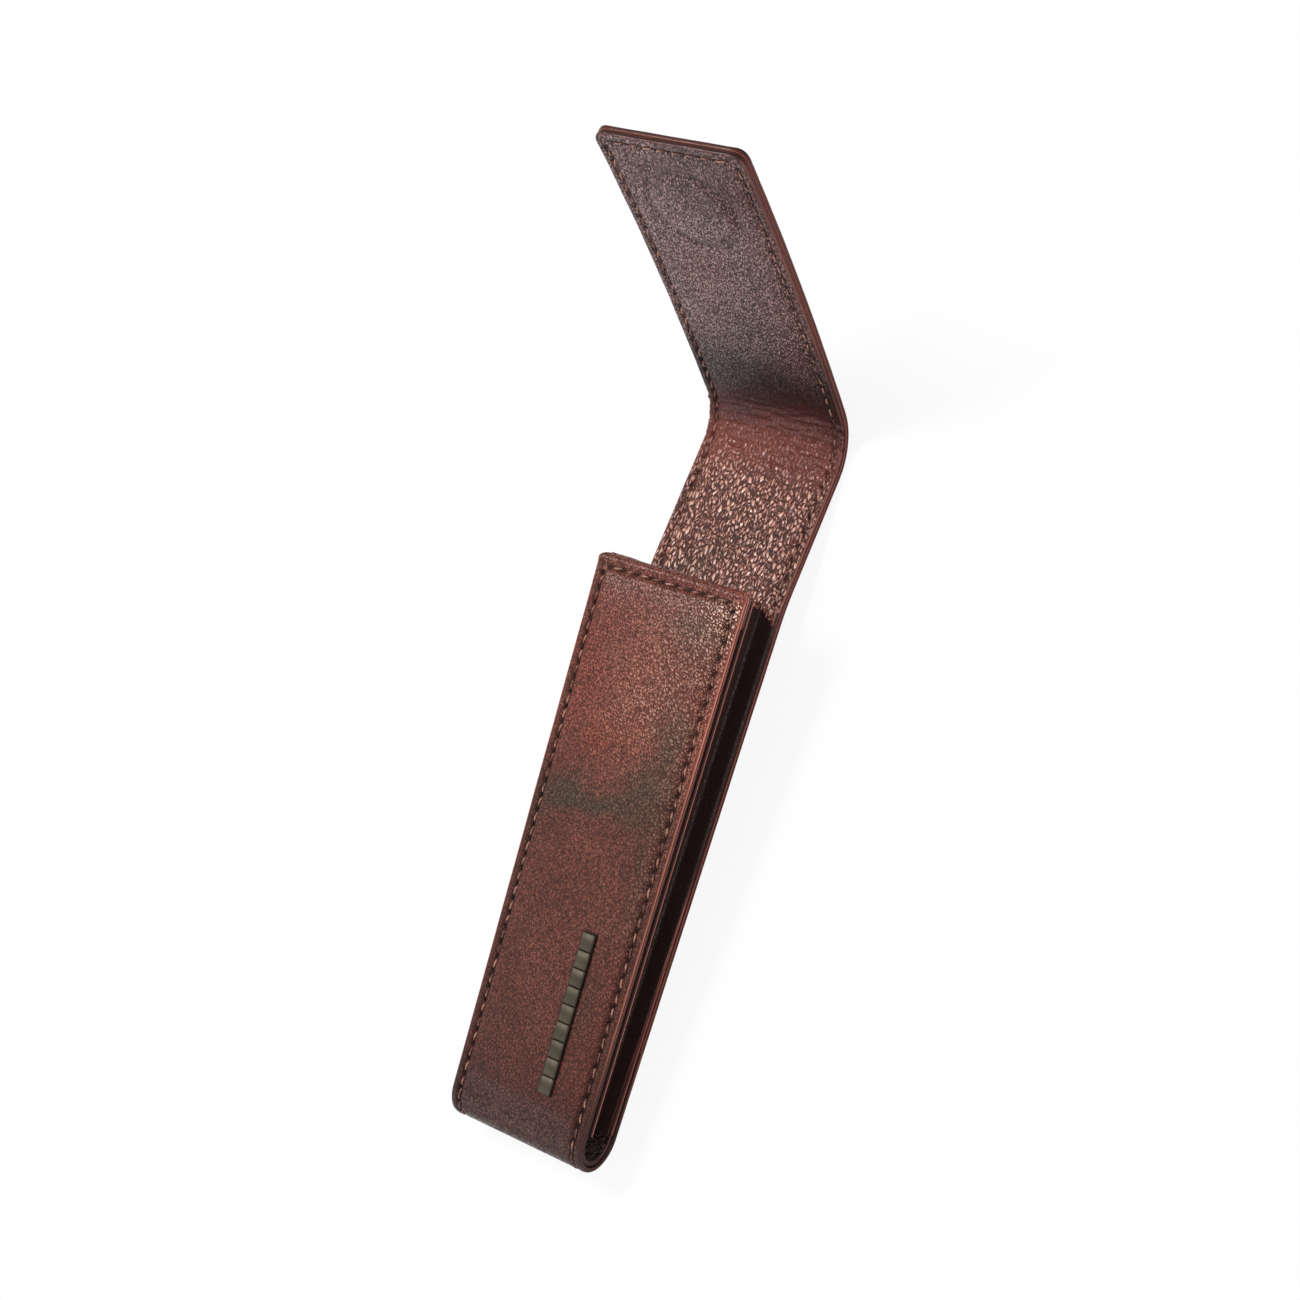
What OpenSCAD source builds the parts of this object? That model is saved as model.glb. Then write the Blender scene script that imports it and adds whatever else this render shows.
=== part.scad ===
// Single pen sleeve: a strip of lined leather, folded up into a flat pocket with a gusset down each side.
// The strip runs on past the mouth at the back, bends over and ends in a flap that shuts over the front.
// The sleeve lies on its back with the flap part open. X is across it, Y runs from the base fold towards
// the flap, and Z points out of the front panel. Every section is drawn from its outer face, at its start.

/* [Pocket] */
// Width of the leather strip
strip_w = 36; // [30:0.5:48]
// Width of the front panel at the mouth
mouth_w = 39; // [36:0.5:50]
// Length of the pocket, from the outside of the base fold to the mouth
pocket_len = 130; // [105:1:160]
// Depth over the base fold
base_depth = 14.4; // [12:0.2:19]
// Depth over the mouth
mouth_depth = 21.2; // [19:0.2:28]

/* [Leather] */
// Thickness of the outer leather
leather_t = 1.3; // [1:0.1:1.8]
// Thickness of the leather lining
lining_t = 1.2; // [1:0.1:1.6]
// Corner radius of the mouth and of the flap
corner_r = 3; // [1.5:0.5:6]
// Length of leather that is turned in as a hem at the mouth
hem_len = 8; // [5:0.5:12]
// Thickness of the padding under the front panel
pad_t = 0.9; // [0.5:0.1:1.4]
// Distance from the panel's edges to the foot of its padded field
pad_inset = 3.6; // [3.4:0.1:6]
// Width of the slope round the padded field
pad_slope = 1.4; // [0.8:0.1:3]

/* [Gussets] */
// Thickness of the gusset leather
gusset_t = 1; // [0.7:0.1:1.4]
// Depth of the gusset wall behind the panels' edges
gusset_inset = 4.5; // [3:0.25:7]
// Distance from the mouth down to the gusset's top edge
gusset_drop = 1.6; // [1.2:0.2:6]
// Height of the gusset's lower end above the outside of the base fold
gusset_lift = 8.5; // [7.8:0.5:16]
// Length of the hem round the gusset's top edge
gusset_hem_len = 2.6; // [1.5:0.1:5]
// Thickness of that hem on each face of the gusset
gusset_hem_t = 0.6; // [0.4:0.1:1]

/* [Back and flap] */
// Length of back that stands past the mouth
ext_len = 31.5; // [22:0.5:40]
// Angle at which that length leans back
lean = 9.8; // [4:0.2:14]
// Length of the bend between the back and the flap, over its outer face
hinge_len = 16.4; // [13:0.2:22]
// Angle of the bend as the sleeve lies part open
hinge_bend = 71; // [55:1:90]
// Length of the flap, over its outer face
flap_len = 79.5; // [60:0.5:95]
// Angle that the flap curls forward along its length
flap_curl = 6; // [3:0.5:12]
// Angle that each of the two upper fold lines turns from here to shut
fold_close = 44.6; // [20:0.2:50]
// Angle that each of them turns from here to lie flat
fold_open = 22; // [10:0.5:26]
// Share of those angles that the fold line at the mouth turns
mouth_share = 0.67; // [0.4:0.01:0.9]

/* [Magnets] */
// Diameter of the two closing magnets
magnet_d = 16; // [10:0.5:20]
// Thickness of each magnet
magnet_t = 0.8; // [0.5:0.1:1.2]
// Distance from the flap's tip to the centre of its magnet
magnet_setback = 19; // [14:0.5:30]
// Thickness of lining left over the flap's magnet
magnet_cover = 0.6; // [0.4:0.1:1]

/* [Stitching] */
// Distance from the side edges to the seams
seam_inset = 2.3; // [1.8:0.1:2.6]
// Distance from the mouth's edge to its seam
mouth_seam = 3; // [2.4:0.1:3.4]
// Distance from one stitch to the next
stitch_pitch = 3.4; // [2.8:0.1:5]
// Length of a stitch
stitch_len = 2; // [1.4:0.1:2.1]
// Thickness of the thread
thread_t = 0.3; // [0.2:0.05:0.4]
// Width of the thread where it lies in its groove
thread_w = 0.6; // [0.4:0.05:0.8]
// Slant of each stitch
stitch_slant = 8; // [0:1:14]

/* [Metal bar] */
// Length of the plain bar on the front panel
bar_len = 36.6; // [20:0.2:44]
// Width of the bar
bar_w = 3.4; // [2.4:0.1:6]
// Thickness of the bar
bar_t = 0.9; // [0.6:0.1:1.6]
// Distance of the bar from the middle of the panel
bar_x = 6.1; // [0:0.1:8]
// Distance from the top of the base fold to the bar's lower end
bar_start = 6.9; // [6:0.1:20]
// Number of equal facets along the bar
bar_facets = 9; // [3:1:14]
// Diameter of the two prongs that hold the bar
prong_d = 1.2; // [0.8:0.1:1.6]
// Distance from each end of the bar to its prong
prong_end = 5; // [3:0.5:8]
// Diameter of the washers behind the padding
washer_d = 4; // [3:0.2:5]
// Thickness of the washers
washer_t = 0.4; // [0.2:0.05:0.5]

/* [Clearances] */
// Gap between two sections of the strip at a fold line
fold_gap = 0.3; // [0.2:0.05:0.5]
// Gap round a prong or a magnet
fit_gap = 0.05; // [0.03:0.01:0.2]
// Gap between a stitch and its groove
thread_gap = 0.05; // [0.03:0.01:0.1]

/* [Hidden] */

leather_colour = [0.36, 0.19, 0.16];
lining_colour = [0.42, 0.27, 0.25];
gusset_colour = [0.13, 0.09, 0.09];
thread_colour = [0.62, 0.5, 0.44];
padding_colour = [0.55, 0.5, 0.45];
bar_colour = [0.42, 0.42, 0.38];
steel_colour = [0.7, 0.71, 0.72];

strip_t = leather_t + lining_t;
cut = 1;
arc_steps = 24;
$fn = 64;

// Points on the side profile are [y, z], and angles turn from Y towards Z
function turned(p, a) = [p[0] * cos(a) - p[1] * sin(a), p[0] * sin(a) + p[1] * cos(a)];
// End of an arc of radius r that starts at p with the heading h and turns by a
function arc_end(p, h, r, a) = p + turned([0, r], h) + turned([0, -r], h + a);

// The front panel is tangent to the base fold
base_r = base_depth / 2;
base_centre = [base_r, base_r];
mouth_point = [pocket_len, mouth_depth];
mouth_reach = norm(mouth_point - base_centre);
front_len = sqrt(mouth_reach ^ 2 - base_r ^ 2);
front_tilt = atan2(mouth_depth - base_r, pocket_len - base_r) - asin(base_r / mouth_reach);
front_start = base_centre + turned([0, base_r], front_tilt);
back_len = pocket_len - base_r;

// The strip's sections turn about fold lines that lie between the leather and the lining
mouth_line = [pocket_len, leather_t];
ext_start = mouth_line + turned([0, -leather_t], -lean);
ext_end = ext_start + turned([ext_len, 0], -lean);
hinge_r = hinge_len * 180 / PI / hinge_bend;
hinge_centre = ext_end + turned([0, hinge_r], -lean);
flap_heading = hinge_bend - lean;
flap_start = arc_end(ext_end, -lean, hinge_r, hinge_bend);
flap_r = flap_len * 180 / PI / flap_curl;
flap_tip = arc_end(flap_start, flap_heading, flap_r, flap_curl);
open_relief = fold_open / 2 + 1;
close_relief = fold_close / 2 + 1;

// The sleeve rests on its base fold and on the bend, and its origin is under the middle of its box
rest_span = hinge_centre - base_centre;
rest_tilt = asin((hinge_r - base_r) / norm(rest_span)) - atan2(rest_span[1], rest_span[0]);
rest_base = turned(base_centre, rest_tilt);
rest_lift = base_r - rest_base[1];
rest_shift = -(rest_base[0] - base_r + turned(flap_tip, rest_tilt)[0]) / 2;

// With the flap shut, its magnet lies over the one in the front panel
magnet_turn = flap_curl * (flap_len - magnet_setback) / flap_len;
shut_ext = mouth_share * fold_close - lean;
shut_hinge = shut_ext + fold_close;
shut_flap = shut_hinge + hinge_bend + fold_close;
shut_line = mouth_line + turned([ext_len, 0], shut_ext);
shut_start = arc_end(shut_line, shut_hinge, hinge_r - leather_t, hinge_bend);
shut_magnet = arc_end(shut_start, shut_flap, flap_r - leather_t, magnet_turn);
front_magnet_y = turned(shut_magnet - front_start, -front_tilt)[0];

// A flat magnet stands clear of the flap's curve at its rim
magnet_rise = flap_r - leather_t - sqrt((flap_r - leather_t) ^ 2 - magnet_d ^ 2 / 4);
magnet_raise = max(0, magnet_t + magnet_rise + magnet_cover - lining_t);

gusset_x = strip_w / 2 - gusset_inset;
gusset_top = pocket_len - gusset_drop;
seam_x = strip_w / 2 - seam_inset;
groove_t = thread_t + thread_gap;
groove_w = thread_w + stitch_len * sin(stitch_slant) + 2 * thread_gap;
prong_places = [bar_start + prong_end, bar_start + bar_len - prong_end];

// Half the width of the front panel at a distance from the top of the base fold
function front_half(y) = strip_w / 2 + (mouth_w - strip_w) / 2 * y / front_len;
// Height of the front panel's layer at a depth, over the back, at a distance along the pocket
function front_z(y, depth) =
    base_r + (base_r - depth) / cos(front_tilt) + (y - base_r) * tan(front_tilt);
// Even places along a seam
function stitch_places(len) = let (n = round(len / stitch_pitch)) [for (i = [0.5 : n]) i * len / n];
// A panel from y = a to y = b, of half widths wa and wb, with its far corners rounded to r
function panel(a, b, wa, wb, r) = concat(
    [[-wa, a], [wa, a]],
    [for (t = [0 : 15 : 90]) [wb - r + r * cos(t), b - r + r * sin(t)]],
    [for (t = [90 : 15 : 180]) [r - wb + r * cos(t), b - r + r * sin(t)]]);
// The front panel's outline, drawn in from its sides, from its start and from the mouth
function front_plan(side, low, high, r) = panel(low, front_len - high,
    front_half(low) - side, front_half(front_len - high) - side, r);

// Frames of the sections
module rest() translate([0, rest_shift, rest_lift]) rotate([rest_tilt, 0, 0]) children();
module at(point, heading) translate([0, point[0], point[1]]) rotate([heading, 0, 0]) children();
module along(r, turn) translate([0, 0, r]) rotate([turn, 0, 0]) translate([0, 0, -r]) children();
module at_front() rest() at(front_start, front_tilt) children();
module at_back() rest() at([base_r, 0], 0) children();
module at_extension() rest() at(ext_start, -lean) children();
module at_hinge() rest() at(ext_end, -lean) children();
module at_flap() rest() at(flap_start, flap_heading) children();

// A side profile, extruded across a width
module across(width, x = 0) translate([x, 0, 0]) rotate([90, 0, 90])
    translate([0, 0, -width / 2]) linear_extrude(width) children();

// Side profile of a flat layer
module flat(len, from, to) translate([0, from]) square([len, to - from]);

// Side profile of a layer that bends inward from the start of its section
module bent(r, turn, from, to) translate([0, r]) intersection() {
    difference() {
        circle(r - from, $fn = ceil(arc_steps * 360 / turn));
        circle(r - to, $fn = ceil(arc_steps * 360 / turn));
    }
    polygon([[0, 0], [0, -2 * r], 3 * r * [sin(turn / 2), -cos(turn / 2)],
        2 * r * [sin(turn), -cos(turn)]]);
}

// What is cut from the end of a section, at its fold line, so that the next one can turn about the line
module fold_cut() {
    reach = strip_t + cut;
    polygon([[-fold_gap / 2, 0],
        [-fold_gap / 2 - reach * tan(close_relief), reach], [reach, reach],
        [reach, -reach], [-fold_gap / 2 - reach * tan(open_relief), -reach]]);
}
module start_cut() translate([0, leather_t]) mirror([1, 0]) fold_cut();
module end_cut(len) translate([len, leather_t]) fold_cut();
module bent_end_cut(r, turn) translate([0, r]) rotate(turn) translate([0, leather_t - r]) fold_cut();

// Side profiles of the strip's layers
module base_profile(from, to) translate(base_centre) intersection() {
    difference() {
        circle(base_r - from);
        circle(base_r - to);
    }
    polygon([[0, 0], 2 * base_r * turned([0, 1], front_tilt), 2 * base_r * [-1, 1],
        2 * base_r * [-1, -1], [0, -2 * base_r]]);
}
module back_profile(from, to) difference() {
    flat(back_len, from, to);
    end_cut(back_len);
}
module extension_profile(from, to) difference() {
    flat(ext_len, from, to);
    start_cut();
    end_cut(ext_len);
}
module hinge_profile(from, to) difference() {
    bent(hinge_r, hinge_bend, from, to);
    start_cut();
    bent_end_cut(hinge_r, hinge_bend);
}
module flap_profile(from, to) difference() {
    bent(flap_r, flap_curl, from, to);
    start_cut();
}

// One stitch lying at the bottom of its groove, on the outer or the inner face of a section
module stitch(slant) rotate([0, 0, slant])
    translate([-thread_w / 2, -stitch_len / 2, 0]) cube([thread_w, stitch_len, thread_t]);
outer_z = groove_t - thread_t;
inner_z = strip_t - groove_t;
// A straight stitch at the bottom of a groove on the inner face of a bend stands clear at its ends
function bent_inner_z(r) = r - sqrt((r - inner_z) ^ 2 - stitch_len ^ 2 / 4);
module flat_seams(len, z) for (side = [-1, 1], y = stitch_places(len))
    translate([side * seam_x, y, z]) stitch(side * stitch_slant);
module bent_seams(r, turn, len, z) for (side = [-1, 1], s = stitch_places(len))
    along(r, turn * s / len) translate([side * seam_x, 0, z]) stitch(side * stitch_slant);

// The front panel: padded leather with its edge turned in at the mouth
module front_grooves() {
    top = front_len - mouth_seam;
    for (side = [-1, 1]) translate([0, 0, -groove_t]) linear_extrude(groove_t + cut) polygon([
        for (p = [[0, -1], [0, 1], [top, 1], [top, -1]])
            [side * (front_half(p[0]) - seam_inset) + p[1] * groove_w / 2, p[0]]]);
    translate([seam_inset - mouth_w / 2, top - groove_w / 2, -groove_t])
        cube([mouth_w - 2 * seam_inset, groove_w, groove_t + cut]);
}
module front_leather() color(leather_colour) at_front() difference() {
    union() {
        intersection() {
            across(mouth_w) {
                hem_r = strip_t / 2;
                translate([0, -leather_t]) square([front_len - hem_r, leather_t]);
                translate([front_len - hem_len, -strip_t]) square([hem_len - hem_r, strip_t]);
                translate([front_len - hem_r, -hem_r]) circle(hem_r);
            }
            translate([0, 0, -strip_t]) linear_extrude(strip_t) polygon(front_plan(0, 0, 0, corner_r));
        }
        padded_field();
    }
    padding_space();
    translate([0, front_magnet_y, -leather_t]) cylinder(h = magnet_t + fit_gap, d = magnet_d + 2 * fit_gap);
    for (y = prong_places) translate([bar_x, y, -strip_t])
        cylinder(h = strip_t + pad_t + cut, d = prong_d + 2 * fit_gap, $fn = 32);
    front_grooves();
}
module padded_field() {
    skin = pad_t / 8;
    top = mouth_seam + pad_inset - seam_inset;
    hull() {
        translate([0, 0, -skin]) linear_extrude(skin)
            polygon(front_plan(pad_inset, pad_inset, top, corner_r));
        translate([0, 0, pad_t - skin]) linear_extrude(skin) polygon(front_plan(
            pad_inset + pad_slope, pad_inset + pad_slope, top + pad_slope, corner_r));
    }
}
module padding_space() translate([0, 0, -leather_t]) linear_extrude(pad_t) polygon(front_plan(
    pad_inset + pad_slope, pad_inset + pad_slope, hem_len + fit_gap, corner_r));
module front_padding() color(padding_colour) at_front() difference() {
    padding_space();
    translate([0, front_magnet_y, -strip_t])
        cylinder(h = strip_t + pad_t + cut, d = magnet_d + 2 * fit_gap);
    for (y = prong_places) translate([bar_x, y, -strip_t]) {
        cylinder(h = strip_t + pad_t + cut, d = prong_d + 2 * fit_gap, $fn = 32);
        cylinder(h = lining_t + washer_t + fit_gap, d = washer_d + 2 * fit_gap, $fn = 32);
    }
}
module front_lining() color(lining_colour) at_front() translate([0, 0, -strip_t])
    linear_extrude(lining_t) polygon([for (p = [[0, -1], [0, 1], [1, 1], [1, -1]])
        let (y = p[0] * (front_len - hem_len)) [p[1] * front_half(y), y]]);
module front_magnet() color(steel_colour) at_front()
    translate([0, front_magnet_y, -leather_t]) cylinder(h = magnet_t, d = magnet_d);
module front_thread() color(thread_colour) at_front() {
    top = front_len - mouth_seam;
    run = mouth_w - 2 * seam_inset;
    for (side = [-1, 1], y = stitch_places(top - stitch_pitch / 2))
        translate([side * (front_half(y) - seam_inset), y, -groove_t]) stitch(side * stitch_slant);
    for (x = stitch_places(run - stitch_pitch))
        translate([x - run / 2 + stitch_pitch / 2, top, -groove_t]) stitch(90 + stitch_slant);
}

// The base fold, where the strip turns from the front to the back
module base_leather() color(leather_colour) rest() difference() {
    across(strip_w) base_profile(0, leather_t);
    for (side = [-1, 1]) across(groove_w, side * seam_x) base_profile(-cut, groove_t);
}
module base_lining() color(lining_colour) rest() across(strip_w) base_profile(leather_t, strip_t);
module base_thread() color(thread_colour) rest() {
    turn = 180 - front_tilt;
    len = turn * PI / 180 * base_r;
    for (side = [-1, 1], s = stitch_places(len)) at(base_centre, front_tilt + 180 + turn * s / len)
        translate([side * seam_x, 0, outer_z - base_r]) stitch(side * stitch_slant);
}

// The back of the pocket
module back_leather() color(leather_colour) at_back() difference() {
    across(strip_w) back_profile(0, leather_t);
    for (side = [-1, 1]) across(groove_w, side * seam_x) flat(back_len, -cut, groove_t);
}
module back_lining() color(lining_colour) at_back() across(strip_w) back_profile(leather_t, strip_t);
module back_thread() color(thread_colour) at_back() flat_seams(back_len, outer_z);

// A gusset is a wall set in from the edges, with a flange sewn to the front and one sewn to the back
module gusset_profile(low, high, gap) polygon([
    [low, strip_t + gap], [high, strip_t + gap],
    [high, front_z(high, strip_t + gap)], [low, front_z(low, strip_t + gap)]]);
module gusset() rest() {
    across(gusset_t, gusset_x - gusset_t / 2) gusset_profile(gusset_lift, gusset_top, 0);
    translate([gusset_x - gusset_t, gusset_lift, strip_t])
        cube([gusset_inset + gusset_t, gusset_top - gusset_lift, gusset_t]);
    low = turned([gusset_lift, front_z(gusset_lift, strip_t)] - front_start, -front_tilt)[0];
    high = turned([gusset_top, front_z(gusset_top, strip_t)] - front_start, -front_tilt)[0];
    at(front_start, front_tilt) translate([0, 0, -strip_t - gusset_t]) linear_extrude(gusset_t)
        polygon([[gusset_x - gusset_t, low], [front_half(low), low],
            [front_half(high), high], [gusset_x - gusset_t, high]]);
}
module gusset_hem() rest() difference() {
    across(gusset_t + 2 * gusset_hem_t, gusset_x - gusset_t / 2)
        gusset_profile(gusset_top - gusset_hem_len, gusset_top + gusset_hem_t, gusset_t);
    across(gusset_t, gusset_x - gusset_t / 2)
        gusset_profile(gusset_lift, gusset_top, 0);
}
module left_gusset() color(gusset_colour) mirror([1, 0, 0]) gusset();
module right_gusset() color(gusset_colour) gusset();
module left_gusset_hem() color(leather_colour) mirror([1, 0, 0]) gusset_hem();
module right_gusset_hem() color(leather_colour) gusset_hem();

// The bar has sloping edges and shallow grooves between its facets, and two prongs behind it
module front_bar() color(bar_colour) at_front() translate([bar_x, bar_start, pad_t]) {
    groove = bar_t / 3;
    difference() {
        translate([0, bar_len, 0]) rotate([90, 0, 0]) linear_extrude(bar_len) polygon([
            [-bar_w / 2, 0], [bar_w / 2, 0], [bar_w / 2, bar_t / 2],
            [bar_w / 2 - bar_t / 2, bar_t], [bar_t / 2 - bar_w / 2, bar_t], [-bar_w / 2, bar_t / 2]]);
        for (i = [1 : bar_facets - 1]) translate([0, i * bar_len / bar_facets, bar_t]) rotate([45, 0, 0])
            cube([bar_w + cut, groove, groove], center = true);
    }
    for (y = [prong_end, bar_len - prong_end]) translate([0, y, fit_gap - leather_t - pad_t])
        cylinder(h = leather_t + pad_t, d = prong_d, $fn = 32);
}
module bar_washers() color(steel_colour) at_front() for (y = prong_places)
    translate([bar_x, y, -leather_t]) difference() {
        cylinder(h = washer_t, d = washer_d, $fn = 32);
        translate([0, 0, -cut]) cylinder(h = washer_t + 2 * cut, d = prong_d + 2 * fit_gap, $fn = 32);
    }

// The back runs on past the mouth
module extension_leather() color(leather_colour) at_extension() difference() {
    across(strip_w) extension_profile(0, leather_t);
    for (side = [-1, 1]) across(groove_w, side * seam_x) flat(ext_len, -cut, groove_t);
}
module extension_lining() color(lining_colour) at_extension() difference() {
    across(strip_w) extension_profile(leather_t, strip_t);
    for (side = [-1, 1]) across(groove_w, side * seam_x) flat(ext_len, strip_t - groove_t, strip_t + cut);
}
module extension_thread() color(thread_colour) at_extension() {
    flat_seams(ext_len, outer_z);
    flat_seams(ext_len, inner_z);
}

// The bend between the back and the flap
module hinge_leather() color(leather_colour) at_hinge() difference() {
    across(strip_w) hinge_profile(0, leather_t);
    for (side = [-1, 1]) across(groove_w, side * seam_x) bent(hinge_r, hinge_bend, -cut, groove_t);
}
module hinge_lining() color(lining_colour) at_hinge() difference() {
    across(strip_w) hinge_profile(leather_t, strip_t);
    for (side = [-1, 1]) across(groove_w, side * seam_x)
        bent(hinge_r, hinge_bend, strip_t - groove_t, strip_t + cut);
}
module hinge_thread() color(thread_colour) at_hinge() {
    bent_seams(hinge_r, hinge_bend, hinge_len, outer_z);
    bent_seams(hinge_r, hinge_bend, hinge_len, bent_inner_z(hinge_r));
}

// The flap has rounded corners, and a magnet between its leather and its lining
tip_seam = flap_len - seam_inset;
module flap_edge() along(flap_r, flap_curl) translate([0, -flap_len, -cut])
    linear_extrude(strip_t + flap_len * tan(flap_curl) + cut) polygon(panel(
        -hinge_len, flap_len, strip_w / 2, strip_w / 2, corner_r));
module flap_grooves(from, to) {
    for (side = [-1, 1]) across(groove_w, side * seam_x)
        bent(flap_r, flap_curl * (tip_seam + groove_w / 2) / flap_len, from, to);
    along(flap_r, flap_curl * tip_seam / flap_len) translate([-seam_x, -groove_w / 2, from])
        cube([2 * seam_x, groove_w, to - from]);
}
module flap_leather() color(leather_colour) at_flap() difference() {
    intersection() {
        across(strip_w) flap_profile(0, leather_t);
        flap_edge();
    }
    flap_grooves(-cut, groove_t);
}
module flap_lining() color(lining_colour) at_flap() difference() {
    union() {
        intersection() {
            across(strip_w) flap_profile(leather_t, strip_t);
            flap_edge();
        }
        along(flap_r, magnet_turn) translate([0, 0, strip_t - lining_t / 2])
            cylinder(h = lining_t / 2 + magnet_raise, d = magnet_d + 4 * magnet_cover);
    }
    along(flap_r, magnet_turn) translate([0, 0, leather_t - cut])
        cylinder(h = cut + magnet_rise + magnet_t, d = magnet_d + 2 * fit_gap);
    flap_grooves(strip_t - groove_t, strip_t + cut);
}
module flap_magnet() color(steel_colour) at_flap() along(flap_r, magnet_turn)
    translate([0, 0, leather_t + magnet_rise]) cylinder(h = magnet_t, d = magnet_d);
module flap_thread() color(thread_colour) at_flap() for (z = [outer_z, bent_inner_z(flap_r)]) {
    run = 2 * seam_x;
    side_run = tip_seam - stitch_pitch / 2;
    for (side = [-1, 1], s = stitch_places(side_run))
        along(flap_r, flap_curl * s / flap_len) translate([side * seam_x, 0, z]) stitch(side * stitch_slant);
    for (x = stitch_places(run - stitch_pitch)) along(flap_r, flap_curl * tip_seam / flap_len)
        translate([x - run / 2 + stitch_pitch / 2, 0, z]) stitch(90 + stitch_slant);
}

front_leather();
front_padding();
front_lining();
front_magnet();
front_thread();
base_leather();
base_lining();
base_thread();
back_leather();
back_lining();
back_thread();
left_gusset();
right_gusset();
left_gusset_hem();
right_gusset_hem();
front_bar();
bar_washers();
extension_leather();
extension_lining();
extension_thread();
hinge_leather();
hinge_lining();
hinge_thread();
flap_leather();
flap_lining();
flap_magnet();
flap_thread();
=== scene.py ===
# %% [markdown]
# # A single pen sleeve
# The real sleeve is one strip of lined leather. It is folded up at the base into a flat pocket, with a
# gusset down each side, and it runs on past the mouth, bends over and ends in a flap. This lesson dresses
# the plain model of it in leather, stitches and metal, in the same place and at the same size. The model
# could be repainted as it is, but real leather is never flat, so each soft piece is made again here as a
# surface worked out with numpy. The model's own solids stay only where they are rigid and hidden.

# %% Load the frame
import math

import bpy
import numpy as np
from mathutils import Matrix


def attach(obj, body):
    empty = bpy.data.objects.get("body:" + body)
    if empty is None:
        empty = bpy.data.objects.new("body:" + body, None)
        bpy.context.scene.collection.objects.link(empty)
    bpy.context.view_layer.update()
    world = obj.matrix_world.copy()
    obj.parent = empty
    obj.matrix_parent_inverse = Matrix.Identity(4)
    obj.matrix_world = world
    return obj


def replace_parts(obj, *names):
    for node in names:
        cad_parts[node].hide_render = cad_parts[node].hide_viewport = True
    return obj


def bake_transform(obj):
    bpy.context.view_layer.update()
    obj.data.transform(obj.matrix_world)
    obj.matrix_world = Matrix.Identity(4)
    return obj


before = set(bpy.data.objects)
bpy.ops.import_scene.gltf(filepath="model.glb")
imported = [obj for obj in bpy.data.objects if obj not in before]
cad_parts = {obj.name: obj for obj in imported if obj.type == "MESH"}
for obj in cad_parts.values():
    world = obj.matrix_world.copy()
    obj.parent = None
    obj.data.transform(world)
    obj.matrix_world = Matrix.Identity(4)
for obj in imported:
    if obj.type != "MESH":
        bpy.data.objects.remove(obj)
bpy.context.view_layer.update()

MM = 0.001

# %% [markdown]
# ## The sizes of the sleeve
# All of the work is in millimetres and turns into metres only when a mesh is made, since a maker thinks of
# this sleeve as 36 mm wide and 130 mm deep. They could be read off the model's nodes one by one, but a few
# driving sizes give every other one by plain geometry, as a paper pattern does.

# %% Driving sizes
STRIP_W, MOUTH_W = 36.0, 39.0                               # the strip, and the front panel at the mouth
POCKET_LEN, BASE_DEPTH, MOUTH_DEPTH = 130.0, 14.4, 21.2     # the pocket from the side
LEATHER, LINING = 1.3, 1.2                                  # thickness of the two layers
SHEET = LEATHER + LINING
CORNER, HEM_LEN = 3.0, 8.0                                  # the flap's corners, and the turned-in hem
EXT_LEN, LEAN = 31.5, math.radians(9.8)                     # the back past the mouth, and how far it leans
BEND_LEN, BEND = 16.4, math.radians(71)
FLAP_LEN, CURL = 79.5, math.radians(6)
SEAM, MOUTH_SEAM, PITCH = 2.3, 3.0, 3.4                     # seams in from the edges, and the stitch

base_r = BASE_DEPTH / 2
reach = math.hypot(POCKET_LEN - base_r, MOUTH_DEPTH - base_r)
FRONT_LEN = math.sqrt(reach**2 - base_r**2)
TILT = math.atan2(MOUTH_DEPTH - base_r, POCKET_LEN - base_r) - math.asin(base_r / reach)
bend_r, flap_r = BEND_LEN / BEND, FLAP_LEN / CURL
print(f"front panel {FRONT_LEN:.2f} mm long, leaning {math.degrees(TILT):.2f} degrees")

# %% [markdown]
# ## The strip as one path
# Seen from the side the whole strip is a single line: down the front, round the base, up the back, out
# along the extension, round the bend and along the flap. It could be drawn as a spline, but leather bends
# by turning a little at each step, so the line is found from how sharply it turns. The turning is softened
# where the sleeve bends freely, then summed once for its heading and again for its place. The line lies
# between the leather and the lining, which neither stretches nor shrinks.

# %% Lengths and turns of the stretches
STRETCHES = ["front", "base", "back", "extension", "bend", "flap"]
LENGTHS = np.array([FRONT_LEN, (base_r - LEATHER) * (math.pi - TILT), POCKET_LEN - base_r,
                    EXT_LEN, (bend_r - LEATHER) * BEND, (flap_r - LEATHER) * CURL])
TURNS = np.array([0, math.pi - TILT, 0, 0, BEND, CURL])
ENDS = dict(zip(STRETCHES, np.cumsum(LENGTHS)))
BASE_AT, BACK_AT = ENDS["front"], ENDS["base"]
EXT_AT, BEND_AT, FLAP_AT, TIP_AT = ENDS["back"], ENDS["extension"], ENDS["bend"], ENDS["flap"]
print({k: round(float(v), 2) for k, v in ENDS.items()})

# %% The path of the fold layer
STEP = 0.05     # distance between places on the path
SOFT = 3.0      # how far a turn is spread


def smooth(t):
    """0 up to 0, 1 from 1 on, and 3t^2 - 2t^3 between them."""
    t = np.clip(t, 0, 1)
    return t * t * (3 - 2 * t)


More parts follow.
